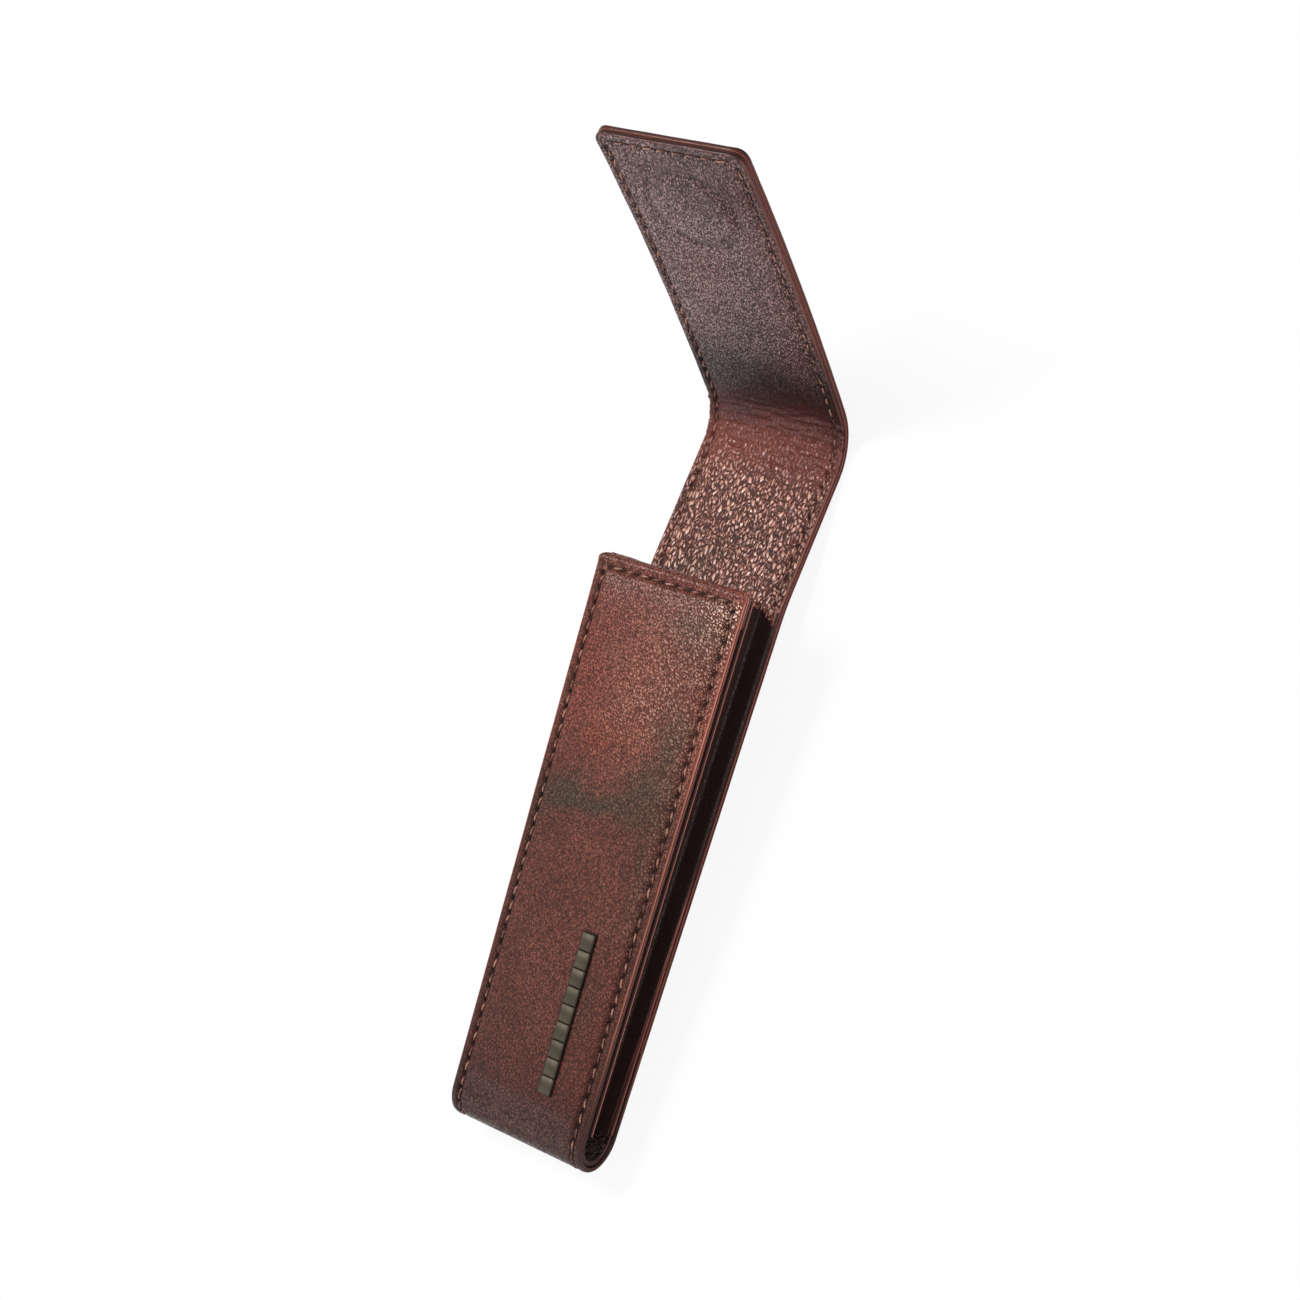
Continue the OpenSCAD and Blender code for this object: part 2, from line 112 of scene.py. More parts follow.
def strip_path():
    """Distance, heading and place along the fold layer, in the plane of Y and Z. Heading is the running sum
    of the turning per millimetre, and the place the sum of its cosine and sine. The turn back at the mouth
    is a peak of half width 2 SOFT, and the bend's turning is averaged over SOFT."""
    s = np.arange(0, TIP_AT + STEP / 2, STEP)
    starts = np.concatenate([[0], np.cumsum(LENGTHS)[:-1]])
    stretch = np.clip(np.searchsorted(starts, s, "right") - 1, 0, len(LENGTHS) - 1)
    turning = (TURNS / LENGTHS)[stretch]
    back = np.clip(1 - np.abs(s - EXT_AT) / (2 * SOFT), 0, None)
    turning = turning - LEAN * back / (back.sum() * STEP)
    window = np.hanning(2 * round(SOFT / STEP) + 1)
    longer = np.pad(turning, len(window) // 2, "edge")
    softened = np.convolve(longer, window / window.sum(), "valid")
    turning = np.where(s < EXT_AT - 2.5 * SOFT, turning, softened)
    heading = math.pi + TILT + np.concatenate([[0], np.cumsum((turning[1:] + turning[:-1]) / 2 * STEP)])
    mouth = np.array([base_r, base_r]) + turn((FRONT_LEN, base_r - LEATHER), TILT)
    middle = (heading[1:] + heading[:-1]) / 2
    y = mouth[0] + np.concatenate([[0], np.cumsum(np.cos(middle) * STEP)])
    z = mouth[1] + np.concatenate([[0], np.cumsum(np.sin(middle) * STEP)])
    return s, heading, y, z


def turn(p, angle):
    """A point of the side plane turned about the origin, from Y towards Z."""
    c, n = math.cos(angle), math.sin(angle)
    return np.array([p[0] * c - p[1] * n, p[0] * n + p[1] * c])


path_s, path_heading, path_y, path_z = strip_path()
print(f"{len(path_s)} places along {TIP_AT:.1f} mm of strip")

# %% [markdown]
# ## How the sleeve lies
# It lies on its back, on the base fold and on the bend. Turning it by eye would leave it hovering or sunk,
# so the angle comes from those two circles: the line that touches both from below is turned level.

# %% Turn the path until both circles touch the floor
ext_start = np.array([POCKET_LEN, LEATHER]) + turn((0, -LEATHER), -LEAN)
ext_end = ext_start + turn((EXT_LEN, 0), -LEAN)
bend_centre = ext_end + turn((0, bend_r), -LEAN)
flap_start = bend_centre + turn((0, -bend_r), BEND - LEAN)
flap_tip = flap_start + turn((0, flap_r), BEND - LEAN) + turn((0, -flap_r), BEND - LEAN + CURL)
span = bend_centre - base_r
REST_TILT = math.asin((bend_r - base_r) / math.hypot(*span)) - math.atan2(span[1], span[0])
rest_base = turn((base_r, base_r), REST_TILT)
REST_Z = base_r - rest_base[1]
REST_Y = -(rest_base[0] - base_r + turn(flap_tip, REST_TILT)[0]) / 2
print(f"turned {math.degrees(REST_TILT):.3f} degrees, moved {REST_Y:.2f} and {REST_Z:.2f} mm")


def rested(x, y, z):
    """A point of the pocket's own frame as the sleeve lies, as an array that ends in x, y, z."""
    c, n = math.cos(REST_TILT), math.sin(REST_TILT)
    x, y, z = np.broadcast_arrays(x, y, z)
    return np.stack([x, y * c - z * n + REST_Y, y * n + z * c + REST_Z], -1)


def on_strip(x, s, depth):
    """A point at x across, s along and depth in from the outer face: the path's point, moved along the
    inward normal by the depth less the leather's thickness."""
    h = np.interp(s, path_s, path_heading)
    along = depth - LEATHER
    y = np.interp(s, path_s, path_y) - np.sin(h) * along
    z = np.interp(s, path_s, path_z) + np.cos(h) * along
    return rested(x, y, z)


def strip_half(s):
    """Half the strip's width: widest at the mouth of the front panel, and even from the base fold on."""
    return STRIP_W / 2 + (MOUTH_W - STRIP_W) / 2 * np.clip((BASE_AT - s) / FRONT_LEN, 0, 1)


def edge_of(x, s):
    """Distance in from the strip's long edge."""
    return strip_half(s) - np.abs(x)


# %% [markdown]
# ## The camera
# The photograph looks down on the sleeve from its right. A camera could be aimed by hand until the outline
# looks right. This one comes from matching measured corners, so its place, angle and lens are just given.

# %% Camera
camera = bpy.data.objects.new("camera", bpy.data.cameras.new("camera"))
bpy.context.scene.collection.objects.link(camera)
camera.location = (0.242664, -0.004813, 0.428157)
camera.rotation_euler = [math.radians(a) for a in (12.3969, 28.6607, 21.5304)]
camera.data.sensor_width = 36
camera.data.lens = 60.443
bpy.context.scene.camera = camera
bpy.context.scene.view_settings.view_transform = "Standard"
print(f"camera {camera.location.length / MM:.0f} mm from the middle, with a {camera.data.lens:.1f} mm lens")

# %% [markdown]
# ## Making materials from nodes
# Every finish here is worked out by nodes, with no picture behind it. Nodes are wordy to add one at a time,
# so one small helper adds a node, sets its values and joins its inputs. Sizes in a pattern are given in
# millimetres and turned into the scale that a texture node wants.

# %% Node helpers
def new_finish(name):
    """A material with its main shader: returns the material, its node tree and the shader."""
    material = bpy.data.materials.new(name)
    material.use_nodes = True
    shader = material.node_tree.nodes["Principled BSDF"]
    return material, material.node_tree, shader


def put(tree, kind, props=None, **inputs):
    """Add a node. An input is a value, or the output of another node, and its name has _ for a space."""
    node = tree.nodes.new("ShaderNode" + kind)
    for key, value in (props or {}).items():
        setattr(node, key, value)
    for key, value in inputs.items():
        socket = node.inputs[int(key[1:]) if key[1:].isdigit() else key.replace("_", " ")]
        if isinstance(value, bpy.types.NodeSocket):
            tree.links.new(value, socket)
        else:
            socket.default_value = value
    return node


def sums(tree, how, a, b=0.0, c=0.0):
    """One step of arithmetic on numbers."""
    return put(tree, "Math", {"operation": how}, i0=a, i1=b, i2=c).outputs[0]


def steps(tree, value, low, high, to_low=0.0, to_high=1.0):
    """A number from low to high, eased into to_low to to_high."""
    props = {"interpolation_type": "SMOOTHSTEP"}
    ends = {"From_Min": low, "From_Max": high, "To_Min": to_low, "To_Max": to_high}
    return put(tree, "MapRange", props, Value=value, **ends).outputs[0]


def tint(tree, share, a, b, how="MIX"):
    """Two colours mixed, or one laid on the other, by a share."""
    node = put(tree, "Mix", {"data_type": "RGBA", "blend_type": how}, i0=share, i6=a, i7=b)
    return node.outputs[2]


def colour(*levels):
    """A colour from its eight-bit levels, as linear light: ((c + 0.055) / 1.055) ^ 2.4."""
    return [((c / 255 + 0.055) / 1.055) ** 2.4 for c in levels] + [1.0]


def measured(tree, name):
    """A value that was laid on the mesh, point by point, when it was made."""
    return put(tree, "Attribute", {"attribute_name": name})


# %% [markdown]
# ## Leather
# Leather is a skin of small swollen cells with creases between them, dyed unevenly, and glossier on the
# cells than in the creases. A single noise would look like rock. Here a cell pattern gives the grain, its
# distance from a cell's edge is the height, and broad noise bends it so that no two cells match. The
# pattern lies on the strip as it was cut, so it runs unbroken round the folds. What is different from place
# to place, such as clouds, wear, painted light and shade, and pale tops that are partly painted highlights,
# comes from values that each mesh carries, point by point. The edge of a sheet is painted in several coats,
# which show as fine lines of their own, some of them painted highlights.

# %% Grain
CELL_LENGTH = 1.9       # how much longer a cell is than it is wide


def grain(tree, place, size, lean):
    """Tone and relief of a skin with cells of one size in millimetres, each about 0 in the creases and 1 on
    the cells. The cells are nearly twice as long one way, at an angle lean to the strip. Tone and relief
    come from the distance to the nearest crease, and noise fills some creases, so that cells join into
    longer ones. The relief is steep at the crease and gently domed on top, where it shines."""
    how, longer = {"vector_type": "TEXTURE"}, (1, CELL_LENGTH, 1)
    drawn = put(tree, "Mapping", how, Vector=place, Rotation=(0, 0, lean), Scale=longer).outputs[0]
    broad = put(tree, "TexNoise", Vector=drawn, Scale=0.6 / (size * MM), Detail=2.0)
    sway = put(tree, "VectorMath", {"operation": "SCALE"}, i0=broad.outputs["Color"], Scale=size * MM * 1.6)
    bent = put(tree, "VectorMath", i0=drawn, i1=sway.outputs[0]).outputs[0]
    net = put(tree, "TexVoronoi", {"feature": "DISTANCE_TO_EDGE"}, Vector=bent, Scale=1 / (size * MM))
    fine = put(tree, "TexNoise", Vector=bent, Scale=1.8 / (size * MM), Detail=3.0).outputs[0]
    filled = steps(tree, fine, 0.44, 0.62, 0.0, 0.55)
    open_share = sums(tree, "SUBTRACT", 1.0, filled)
    cell = sums(tree, "MULTIPLY_ADD", steps(tree, net.outputs["Distance"], 0.04, 0.34), open_share, filled)
    wall = sums(tree, "MULTIPLY_ADD", steps(tree, net.outputs["Distance"], 0.0, 0.2), open_share, filled)
    dome = sums(tree, "MULTIPLY_ADD", steps(tree, net.outputs["Distance"], 0.0, 0.6), 0.45, 0.0)
    tone = sums(tree, "MULTIPLY_ADD", fine, 0.5, sums(tree, "MULTIPLY", cell, 0.75))
    relief = sums(tree, "MULTIPLY_ADD", fine, 0.15, sums(tree, "MULTIPLY_ADD", wall, 0.4, dome))
    return tone, relief


def stripes(tree, value, stops):
    """Colours along a value from 0 to 1: each stop is a place and its eight-bit levels."""
    node = put(tree, "ValToRGB", i0=value)
    while len(node.color_ramp.elements) < len(stops):
        node.color_ramp.elements.new(1.0)
    for element, (at, levels) in zip(node.color_ramp.elements, stops):
        element.position = at
        element.color = colour(*levels)
    return node.outputs[0]


def grey(tree, value):
    """A number as a colour, for darkening another."""
    return put(tree, "CombineColor", i0=value, i1=value, i2=value).outputs[0]


# %% Leather
CLOUDS, SPOTS = 75, 380         # noise scales, for clouds about 13 mm wide and spots of about 3 mm
# Painted shadow inside a needle hole.
HOLE_SHADOW = (18, 8, 6)            # the colour inside a needle hole


def leather(name, light, dark, smoke_and_shade, ember, polish_and_highlight, size, lift, crease, rough, shine, edge, lean=0.0):
    """A dyed leather. light and dark are its even colours, smoke_and_shade and ember those of its darker and
    redder clouds, the darker ones partly painted shade, and polish_and_highlight that of the tops of its
    grain where handling has worn them, partly a painted highlight. size is the grain and lift its height,
    in millimetres, and crease says how far its creases darken. rough and shine are how matt the tops are and
    how much they reflect. edge gives the painted edge's colours through the sheet, from the outer face
    inwards, with light lines that are partly painted highlights. These values come from the mesh: lay, the
    place on the strip as it was cut; smoke_and_shade and ember, the clouds; worn, where the grain is smoothed
    away; rubbed_and_highlight, where its tops are pale as wear and painted highlight; painted_shading,
    painted light and painted shade as a brightness of the dye; rim, the painted edge; and pierce, the needle
    holes, which get a painted shadow."""
    material, tree, shader = new_finish(name)
    place = measured(tree, "lay").outputs["Vector"]
    height, relief = grain(tree, place, size, lean)
    wide = put(tree, "TexNoise", Vector=place, Scale=CLOUDS, Detail=3.0, Roughness=0.55).outputs[0]
    near = put(tree, "TexNoise", Vector=place, Scale=SPOTS, Detail=2.0).outputs[0]
    stir = sums(tree, "MULTIPLY_ADD", wide, 0.5, sums(tree, "MULTIPLY_ADD", near, 0.12, -0.31))
    dim = sums(tree, "ADD", measured(tree, "smoke_and_shade").outputs["Fac"], stir)
    warm = sums(tree, "ADD", measured(tree, "ember").outputs["Fac"], stir)
    skin = tint(tree, steps(tree, wide, 0.35, 0.65), colour(*dark), colour(*light))
    skin = tint(tree, steps(tree, warm, 0.0, 1.1), skin, colour(*ember))
    # Darker clouds: smoky dye, and on the lining also the painted shade just past the bend.
    skin = tint(tree, steps(tree, dim, 0.0, 1.1), skin, colour(*smoke_and_shade))
    pores = steps(tree, height, 0.35, 1.0, 1 - crease, 1.3)
    unworn = sums(tree, "SUBTRACT", 1.0, measured(tree, "worn").outputs["Fac"])
    pores = sums(tree, "MULTIPLY_ADD", sums(tree, "SUBTRACT", pores, 0.9), unworn, 0.9)
    skin = tint(tree, 1.0, skin, grey(tree, pores), "MULTIPLY")
    # Pale tops of the grain: some wear, and mostly painted highlights and glints.
    tops = sums(tree, "MULTIPLY", steps(tree, height, 0.68, 1.1), measured(tree, "rubbed_and_highlight").outputs["Fac"])
    skin = tint(tree, tops, skin, colour(*polish_and_highlight))
    rim = measured(tree, "rim").outputs["Fac"]
    deep = put(tree, "SeparateXYZ", Vector=place).outputs[2]
    layer = sums(tree, "MULTIPLY", deep, 1 / (SHEET * MM))
    # Painted edge colours, whose light stripes are partly painted highlights.
    skin = tint(tree, rim, skin, stripes(tree, layer, edge))
    # Needle holes get a painted shadow.
    hole = measured(tree, "pierce").outputs["Fac"]
    skin = tint(tree, hole, skin, colour(*HOLE_SHADOW))
    # Painted light and painted shade: a brightness carried by the mesh multiplies the whole colour.
    skin = tint(tree, 1.0, skin, grey(tree, measured(tree, "painted_shading").outputs["Fac"]), "MULTIPLY")
    tree.links.new(skin, shader.inputs["Base Color"])
    gloss = steps(tree, height, 0.3, 0.8, rough + 0.35, rough)
    gloss = sums(tree, "MULTIPLY_ADD", rim, -0.1, sums(tree, "MULTIPLY_ADD", hole, 0.4, gloss))
    tree.links.new(gloss, shader.inputs["Roughness"])
    quiet = sums(tree, "SUBTRACT", 1.0, sums(tree, "MULTIPLY", rim, 0.8))
    bump = put(tree, "Bump", Strength=quiet, Distance=lift * MM, Height=relief)
    tree.links.new(bump.outputs[0], shader.inputs["Normal"])
    shader.inputs["Specular IOR Level"].default_value = shine
    return material


# %% The leathers, with their painted edges
# Light stripes in these edge colours are partly painted highlights on the edge's rounded ridges, and the
# front's edge is painted lighter than the same edge elsewhere, as painted light.
FRONT_EDGE = [(0.0, (120, 60, 50)), (0.06, (206, 142, 122)), (0.12, (112, 48, 38)), (0.2, (44, 13, 10)),
              (0.27, (166, 76, 62)), (0.36, (212, 130, 110)), (0.43, (60, 20, 16)), (0.6, (92, 38, 31))]
OUTER_EDGE = [(0.0, (44, 17, 14)), (0.22, (56, 20, 17)), (0.3, (150, 62, 51)), (0.37, (42, 14, 12)),
              (0.46, (190, 108, 92)), (0.52, (60, 22, 18))]
LINING_EDGE = [(0.5, (22, 8, 7)), (0.58, (76, 28, 24)), (0.72, (104, 42, 37)), (0.82, (40, 14, 12)),
               (0.92, (160, 98, 86)), (1.0, (88, 50, 45))]
DARK_EDGE = [(0.0, (44, 17, 14)), (0.3, (112, 46, 38)), (0.5, (208, 128, 108)), (0.66, (112, 46, 38)),
             (0.85, (42, 15, 12)), (1.0, (30, 11, 9))]
RUSSET = (124, 62, 53)
BROWN = {"light": (121, 64, 51), "dark": (109, 56, 44), "smoke_and_shade": (80, 60, 45), "ember": (122, 58, 46),
         "polish_and_highlight": (224, 202, 180), "size": 0.49, "lift": 0.04, "crease": 0.74, "rough": 0.24, "shine": 0.18,
         "lean": -0.9}
# The front and the rest share one leather, with the front's edge painted lighter as painted light.
FRONT = leather("oiled brown leather", edge=FRONT_EDGE, **BROWN)
OUTER = leather("oiled brown leather back", edge=OUTER_EDGE, **BROWN)
# The fine lining's darker cloud colour also serves as the painted shade just past the bend.
FINE = leather("fine lining leather", light=(138, 106, 104), dark=(124, 92, 91), smoke_and_shade=(66, 36, 36),
               ember=RUSSET, polish_and_highlight=(224, 204, 200), size=0.53, lift=0.1, crease=0.86, rough=0.2, shine=0.19,
               edge=LINING_EDGE)
COARSE = leather("coarse lining leather", light=(146, 86, 71), dark=(128, 72, 59), smoke_and_shade=(98, 54, 44),
                 ember=RUSSET, polish_and_highlight=(234, 200, 178), size=0.84, lift=0.16, crease=0.82, rough=0.18,
                 shine=0.18, edge=LINING_EDGE)
GUSSET = leather("dark gusset leather", light=(52, 32, 29), dark=(46, 28, 25), smoke_and_shade=(44, 27, 24),
                 ember=(56, 31, 27), polish_and_highlight=(110, 82, 74), size=0.5, lift=0.03, crease=0.3, rough=0.4,
                 shine=0.25, edge=DARK_EDGE)
print("leathers:", ", ".join(finish.name for finish in (FRONT, OUTER, FINE, COARSE, GUSSET)))

# %% [markdown]
# ## Thread, metal and foam
# The thread is twisted, so it shows slanting plies. The bar is dark brushed metal. The foam under the front
# panel and the hidden steel can't be seen, but they still get their own finishes, because a part is looked
# at piece by piece.

# %% Thread, metal and foam
def thread_finish():
    """Waxed thread: a wave along its length darkens the gaps between the plies and bumps them."""
    material, tree, shader = new_finish("waxed thread")
    place = measured(tree, "lay").outputs["Vector"]
    plies = put(tree, "TexWave", {"bands_direction": "DIAGONAL"}, Vector=place, Scale=900.0, Distortion=1.0)
    worn = put(tree, "TexNoise", Vector=place, Scale=350, Detail=2.0).outputs[0]
    dye = tint(tree, steps(tree, worn, 0.4, 0.62), colour(92, 52, 42), colour(184, 134, 114))
    dye = tint(tree, sums(tree, "MULTIPLY", plies.outputs[1], 0.45), dye, colour(58, 28, 22))
    tree.links.new(dye, shader.inputs["Base Color"])
    bump = put(tree, "Bump", Strength=0.5, Distance=0.05 * MM, Height=plies.outputs[1])
    tree.links.new(bump.outputs[0], shader.inputs["Normal"])
    shader.inputs["Roughness"].default_value = 0.32
    shader.inputs["Specular IOR Level"].default_value = 0.3
    return material


def metal_finish(name, light, dark, rough, stretch):
    """Brushed metal: fine noise pulled out along one way varies its colour, roughness and bump."""
    material, tree, shader = new_finish(name)
    place = put(tree, "TexCoord").outputs["Object"]
    drawn = put(tree, "Mapping", Vector=place, Scale=stretch).outputs[0]
    lines = put(tree, "TexNoise", Vector=drawn, Scale=1800, Detail=3.0).outputs[0]
    worn = put(tree, "TexNoise", Vector=place, Scale=160, Detail=3.0).outputs[0]
    tree.links.new(tint(tree, worn, colour(*dark), colour(*light)), shader.inputs["Base Color"])
    gloss = sums(tree, "MULTIPLY_ADD", lines, 0.18, rough - 0.09)
    tree.links.new(gloss, shader.inputs["Roughness"])
    bump = put(tree, "Bump", Strength=0.25, Distance=0.02 * MM, Height=lines)
    tree.links.new(bump.outputs[0], shader.inputs["Normal"])
    shader.inputs["Metallic"].default_value = 1.0
    return material


def foam_finish():
    """Soft foam: small open cells, paler between them."""
    material, tree, shader = new_finish("soft foam")
    place = put(tree, "TexCoord").outputs["Object"]
    cells = put(tree, "TexVoronoi", Vector=place, Scale=2200).outputs["Distance"]
    shades = tint(tree, cells, colour(120, 108, 94), colour(190, 178, 160))
    tree.links.new(shades, shader.inputs["Base Color"])
    bump = put(tree, "Bump", Strength=0.6, Distance=0.1 * MM, Height=cells)
    tree.links.new(bump.outputs[0], shader.inputs["Normal"])
    shader.inputs["Roughness"].default_value = 0.9
    return material


THREAD = thread_finish()
GUNMETAL = metal_finish("gunmetal", (74, 68, 58), (46, 41, 35), 0.5, (1.0, 0.05, 1.0))
STEEL = metal_finish("plated steel", (188, 188, 190), (150, 150, 152), 0.25, (1.0, 0.2, 1.0))
FOAM = foam_finish()
print("and", ", ".join(finish.name for finish in (THREAD, GUNMETAL, STEEL, FOAM)))

# %% [markdown]
# ## Sheets with rounded edges
# Every panel is a sheet of some thickness with rounded edges. It could be a plane with a thickness
# modifier, but then its edges would be sharp and its two faces alike. Here one closed loop goes across the
# outer face, round one edge, back across the inner face and round the other edge, and that loop is carried
# along the strip. The loop's lines lie closer together near the seams, where the needle pulls the leather
# down, and at a sheet's end the loops shrink as the edge rounds off.

# %% Loops into a mesh
CRISP = math.radians(62)        # edges that turn by more than this stay crisp


def make_mesh(name, points, faces, values):
    """A mesh in metres from points in millimetres, with a value per point for each name in values. Its
    volume is the sum of a . (b x c) / 6 over its triangles, and where that is less than 0 the faces are
    turned outwards."""
    mesh = bpy.data.meshes.new(name)
    mesh.from_pydata((points * MM).tolist(), [], faces)
    for key, value in values.items():
        if value.ndim == 2:
            layer = mesh.attributes.new(key, "FLOAT_VECTOR", "POINT")
            layer.data.foreach_set("vector", (value * MM).astype(np.float32).ravel())
        else:
            layer = mesh.attributes.new(key, "FLOAT", "POINT")
            layer.data.foreach_set("value", value.astype(np.float32))
    mesh.calc_loop_triangles()
    corners = np.empty(len(mesh.loop_triangles) * 3, np.int32)
    mesh.loop_triangles.foreach_get("vertices", corners)
    middle = points.mean(0)
    a, b, c = (points[corners.reshape(-1, 3)[:, i]] - middle for i in range(3))
    volume = np.einsum("ij,ij->i", a, np.cross(b, c)).sum() / 6
    if volume < 0:
        mesh.flip_normals()
    mesh.shade_smooth()
    mesh.set_sharp_from_angle(angle=CRISP)
    piece = bpy.data.objects.new(name, mesh)
    bpy.context.scene.collection.objects.link(piece)
    print(f"{name}: {len(mesh.loop_triangles)} triangles, {abs(volume):.0f} cubic mm")
    return piece


def tube_faces(rows, around):
    """Four-sided faces between neighbouring loops, and one face over each end."""
    i, j = np.meshgrid(np.arange(rows - 1), np.arange(around), indexing="ij")
    k = (j + 1) % around
    quads = np.stack([i * around + j, i * around + k, (i + 1) * around + k, (i + 1) * around + j], -1)
    ends = [list(range(around))[::-1], [(rows - 1) * around + n for n in range(around)]]
    return quads.reshape(-1, 4).tolist() + ends


def make_tube(name, loops, values):
    """A closed piece from loops of points: rows of loops, then the points round each, then x, y, z."""
    rows, around = loops.shape[:2]
    flat = {key: value.reshape(rows * around, *value.shape[2:]) for key, value in values.items()}
    return make_mesh(name, loops.reshape(-1, 3), tube_faces(rows, around), flat)


# %% The loop of a sheet
EDGE_LINES = np.array([0.9, 1.2, 1.5, 1.75, 1.95, 2.1, 2.2, 2.3, 2.4, 2.5, 2.65, 2.85, 3.1, 3.4, 3.8, 4.2,
                       4.7, 5.3, 6.0])          # close lines, in from the edge, over the seam
ROUND = np.radians([15, 32, 50, 70, 90])        # steps round a rounded edge
FINE_STEP = 0.34                                # between the even lines of a face that is seen
UNDER_TO = 2.6                                  # how far in the close lines go on a face that is hidden


def lines_across(half, edge, lines, spacing):
    """Places across a face: closer lines near both edges, then even ones over the middle."""
    near = np.concatenate([[edge], lines[lines > edge + 0.1]])
    inside = half[:, None] - near[-1]
    count = max(2, round(float(2 * inside.max() / spacing)))
    middle = inside * np.linspace(-1, 1, count + 1)[None, 1:-1]
    border = half[:, None] - near[None, :]
    return np.concatenate([-border, middle, border[:, ::-1]], 1)


def sheet_loops(s, half, top, bottom, edge, start=None, end=None, spacing=FINE_STEP, under=3.0):
    """Loops of a sheet along the strip. s are its rows and half its half width at each. top and bottom give
    the depth of its faces at (x, s), with even lines at spacing and under. Its long edges have the radius
    edge. start and end, where given, are the place and radius of a rounded end: over that radius the faces
    draw together as 1 - cos of an angle. Returns x, s, depth and where the rim is."""
    s = np.asarray(s, float)
    pinch, keep = np.zeros_like(s), np.ones_like(s)
    for cap, way in ((start, 1), (end, -1)):
        if cap:
            at, radius = cap
            t = np.clip(1 - way * (s - at) / radius, 0, 1)
            pinch += radius * (1 - np.sqrt(np.clip(1 - t * t, 0, 1)))
            keep *= np.sqrt(np.clip(1 - t * t, 0, 1))
    half = half(s) - edge * (1 - keep)
    small = (edge * keep)[:, None]
    over = lines_across(half, edge, EDGE_LINES, spacing)
    hidden = under > 1
    lines = EDGE_LINES[EDGE_LINES < UNDER_TO] if hidden else EDGE_LINES
    below = lines_across(half, edge, lines, under)[:, ::-1]
    rows = s[:, None]
    high = top(over, rows) + pinch[:, None] + 0 * over
    low = bottom(below, rows) - pinch[:, None] + 0 * below
    sides = []
    for side, high_end, low_end in ((1, high[:, -1:], low[:, :1]), (-1, high[:, :1], low[:, -1:])):
        x = side * (half[:, None] - edge + small * np.sin(ROUND))
        down = high_end + small * (1 - np.cos(ROUND))
        up = low_end - small * (1 - np.cos(ROUND))
        pair = [np.concatenate([x, x[:, ::-1]], 1), np.concatenate([down, up[:, ::-1]], 1)]
        sides.append(pair if side > 0 else [pair[0][:, ::-1], pair[1][:, ::-1]])
    x = np.concatenate([over, sides[0][0], below, sides[1][0]], 1)
    depth = np.concatenate([high, sides[0][1], low, sides[1][1]], 1)
    rim = np.zeros_like(x)
    rim[:, over.shape[1]:over.shape[1] + 2 * len(ROUND)] = 1
    rim[:, -2 * len(ROUND):] = 1
    if end:
        rim = np.maximum(rim, np.where(rows > end[0] - end[1], smooth((1 - keep[:, None]) / 0.5), 0))
    return x, np.broadcast_to(rows, x.shape), depth, rim


# %% Rows of the strip
def rows_between(a, b, step=FINE_STEP, start=None, end=None):
    """Even rows from a to b, with closer rows over the radius of a rounded end."""
    arc = 1 - np.sin(np.linspace(0, math.radians(80), 7))
    head = [a + start * arc[::-1]] if start else []
    tail = [b - end * arc] if end else []
    low, high = a + (start or 0), b - (end or 0)
    count = max(2, round((high - low) / step))
    body = np.linspace(low, high, count + 1)
    rows = np.concatenate(head + [body] + tail)
    return np.unique(np.round(rows, 5))


def cornered(half, at, way, r=CORNER):
    """Half width with the corners rounded off at one end: r - sqrt(r^2 - (r - d)^2) less, at d from it."""
    def rounded(s):
        d = np.clip(way * (s - at), 0, r)
        return half(s) - (r - np.sqrt(np.clip(r * r - (r - d) ** 2, 0, None)))
    return rounded


# %% [markdown]
# ## Seams
# The needle goes through at even steps, and each stitch lies slightly aslant between two holes, pulled into
# the leather. A painted line would vanish from the side, so the holes and the groove between them are real
# hollows, and each stitch is its own small bent thread.

# %% Where the needle goes
def even_holes(start, end, pitch=PITCH):
    """Needle holes at even steps from start to end, as near to the pitch as a whole number allows."""
    return np.linspace(start, end, max(1, round(abs(end - start) / pitch)) + 1)


front_holes = even_holes(BASE_AT, MOUTH_SEAM + PITCH / 2)[::-1]
side_holes = np.concatenate([
    front_holes, even_holes(BASE_AT, BACK_AT, 2.6)[1:], even_holes(BACK_AT, EXT_AT)[1:],
    even_holes(EXT_AT, BEND_AT)[1:], even_holes(BEND_AT, FLAP_AT, 3.0)[1:],
    even_holes(FLAP_AT, TIP_AT - SEAM - PITCH / 2)[1:]])
lining_holes = side_holes[side_holes > EXT_AT - 0.1]
mouth_half = MOUTH_W / 2 - SEAM - PITCH / 2
mouth_holes = even_holes(-mouth_half, mouth_half)
tip_half = STRIP_W / 2 - SEAM - PITCH / 2
tip_holes = even_holes(-tip_half, tip_half)
print(f"{len(side_holes) - 1} stitches down each side, {len(mouth_holes) - 1} over the mouth")


def bell(t):
    """1 at 0, falling off on both sides as exp(-t^2)."""
    return np.exp(-t * t)


def nearest(value, holes):
    """Signed distance to the nearest hole."""
    i = np.clip(np.searchsorted(holes, value), 1, len(holes) - 1)
    left, right = value - holes[i - 1], value - holes[i]
    return np.where(np.abs(left) < np.abs(right), left, right)


GROOVE_W, HOLE_W, HOLE_L, HOLE_SLANT = 0.45, 0.56, 0.9, 1.1      # how wide and long they are, and how aslant


def seam_line(off, along, inside):
    """Groove and holes of one seam, at a distance off its line and along from the nearest hole: the groove
    is a bell across the line, and a hole a slanting bell round its own place."""
    hole = bell(np.hypot(off / HOLE_W, (along + HOLE_SLANT * off) / HOLE_L))
    return np.where(inside, bell(off / GROOVE_W), 0), np.where(inside, hole, 0)


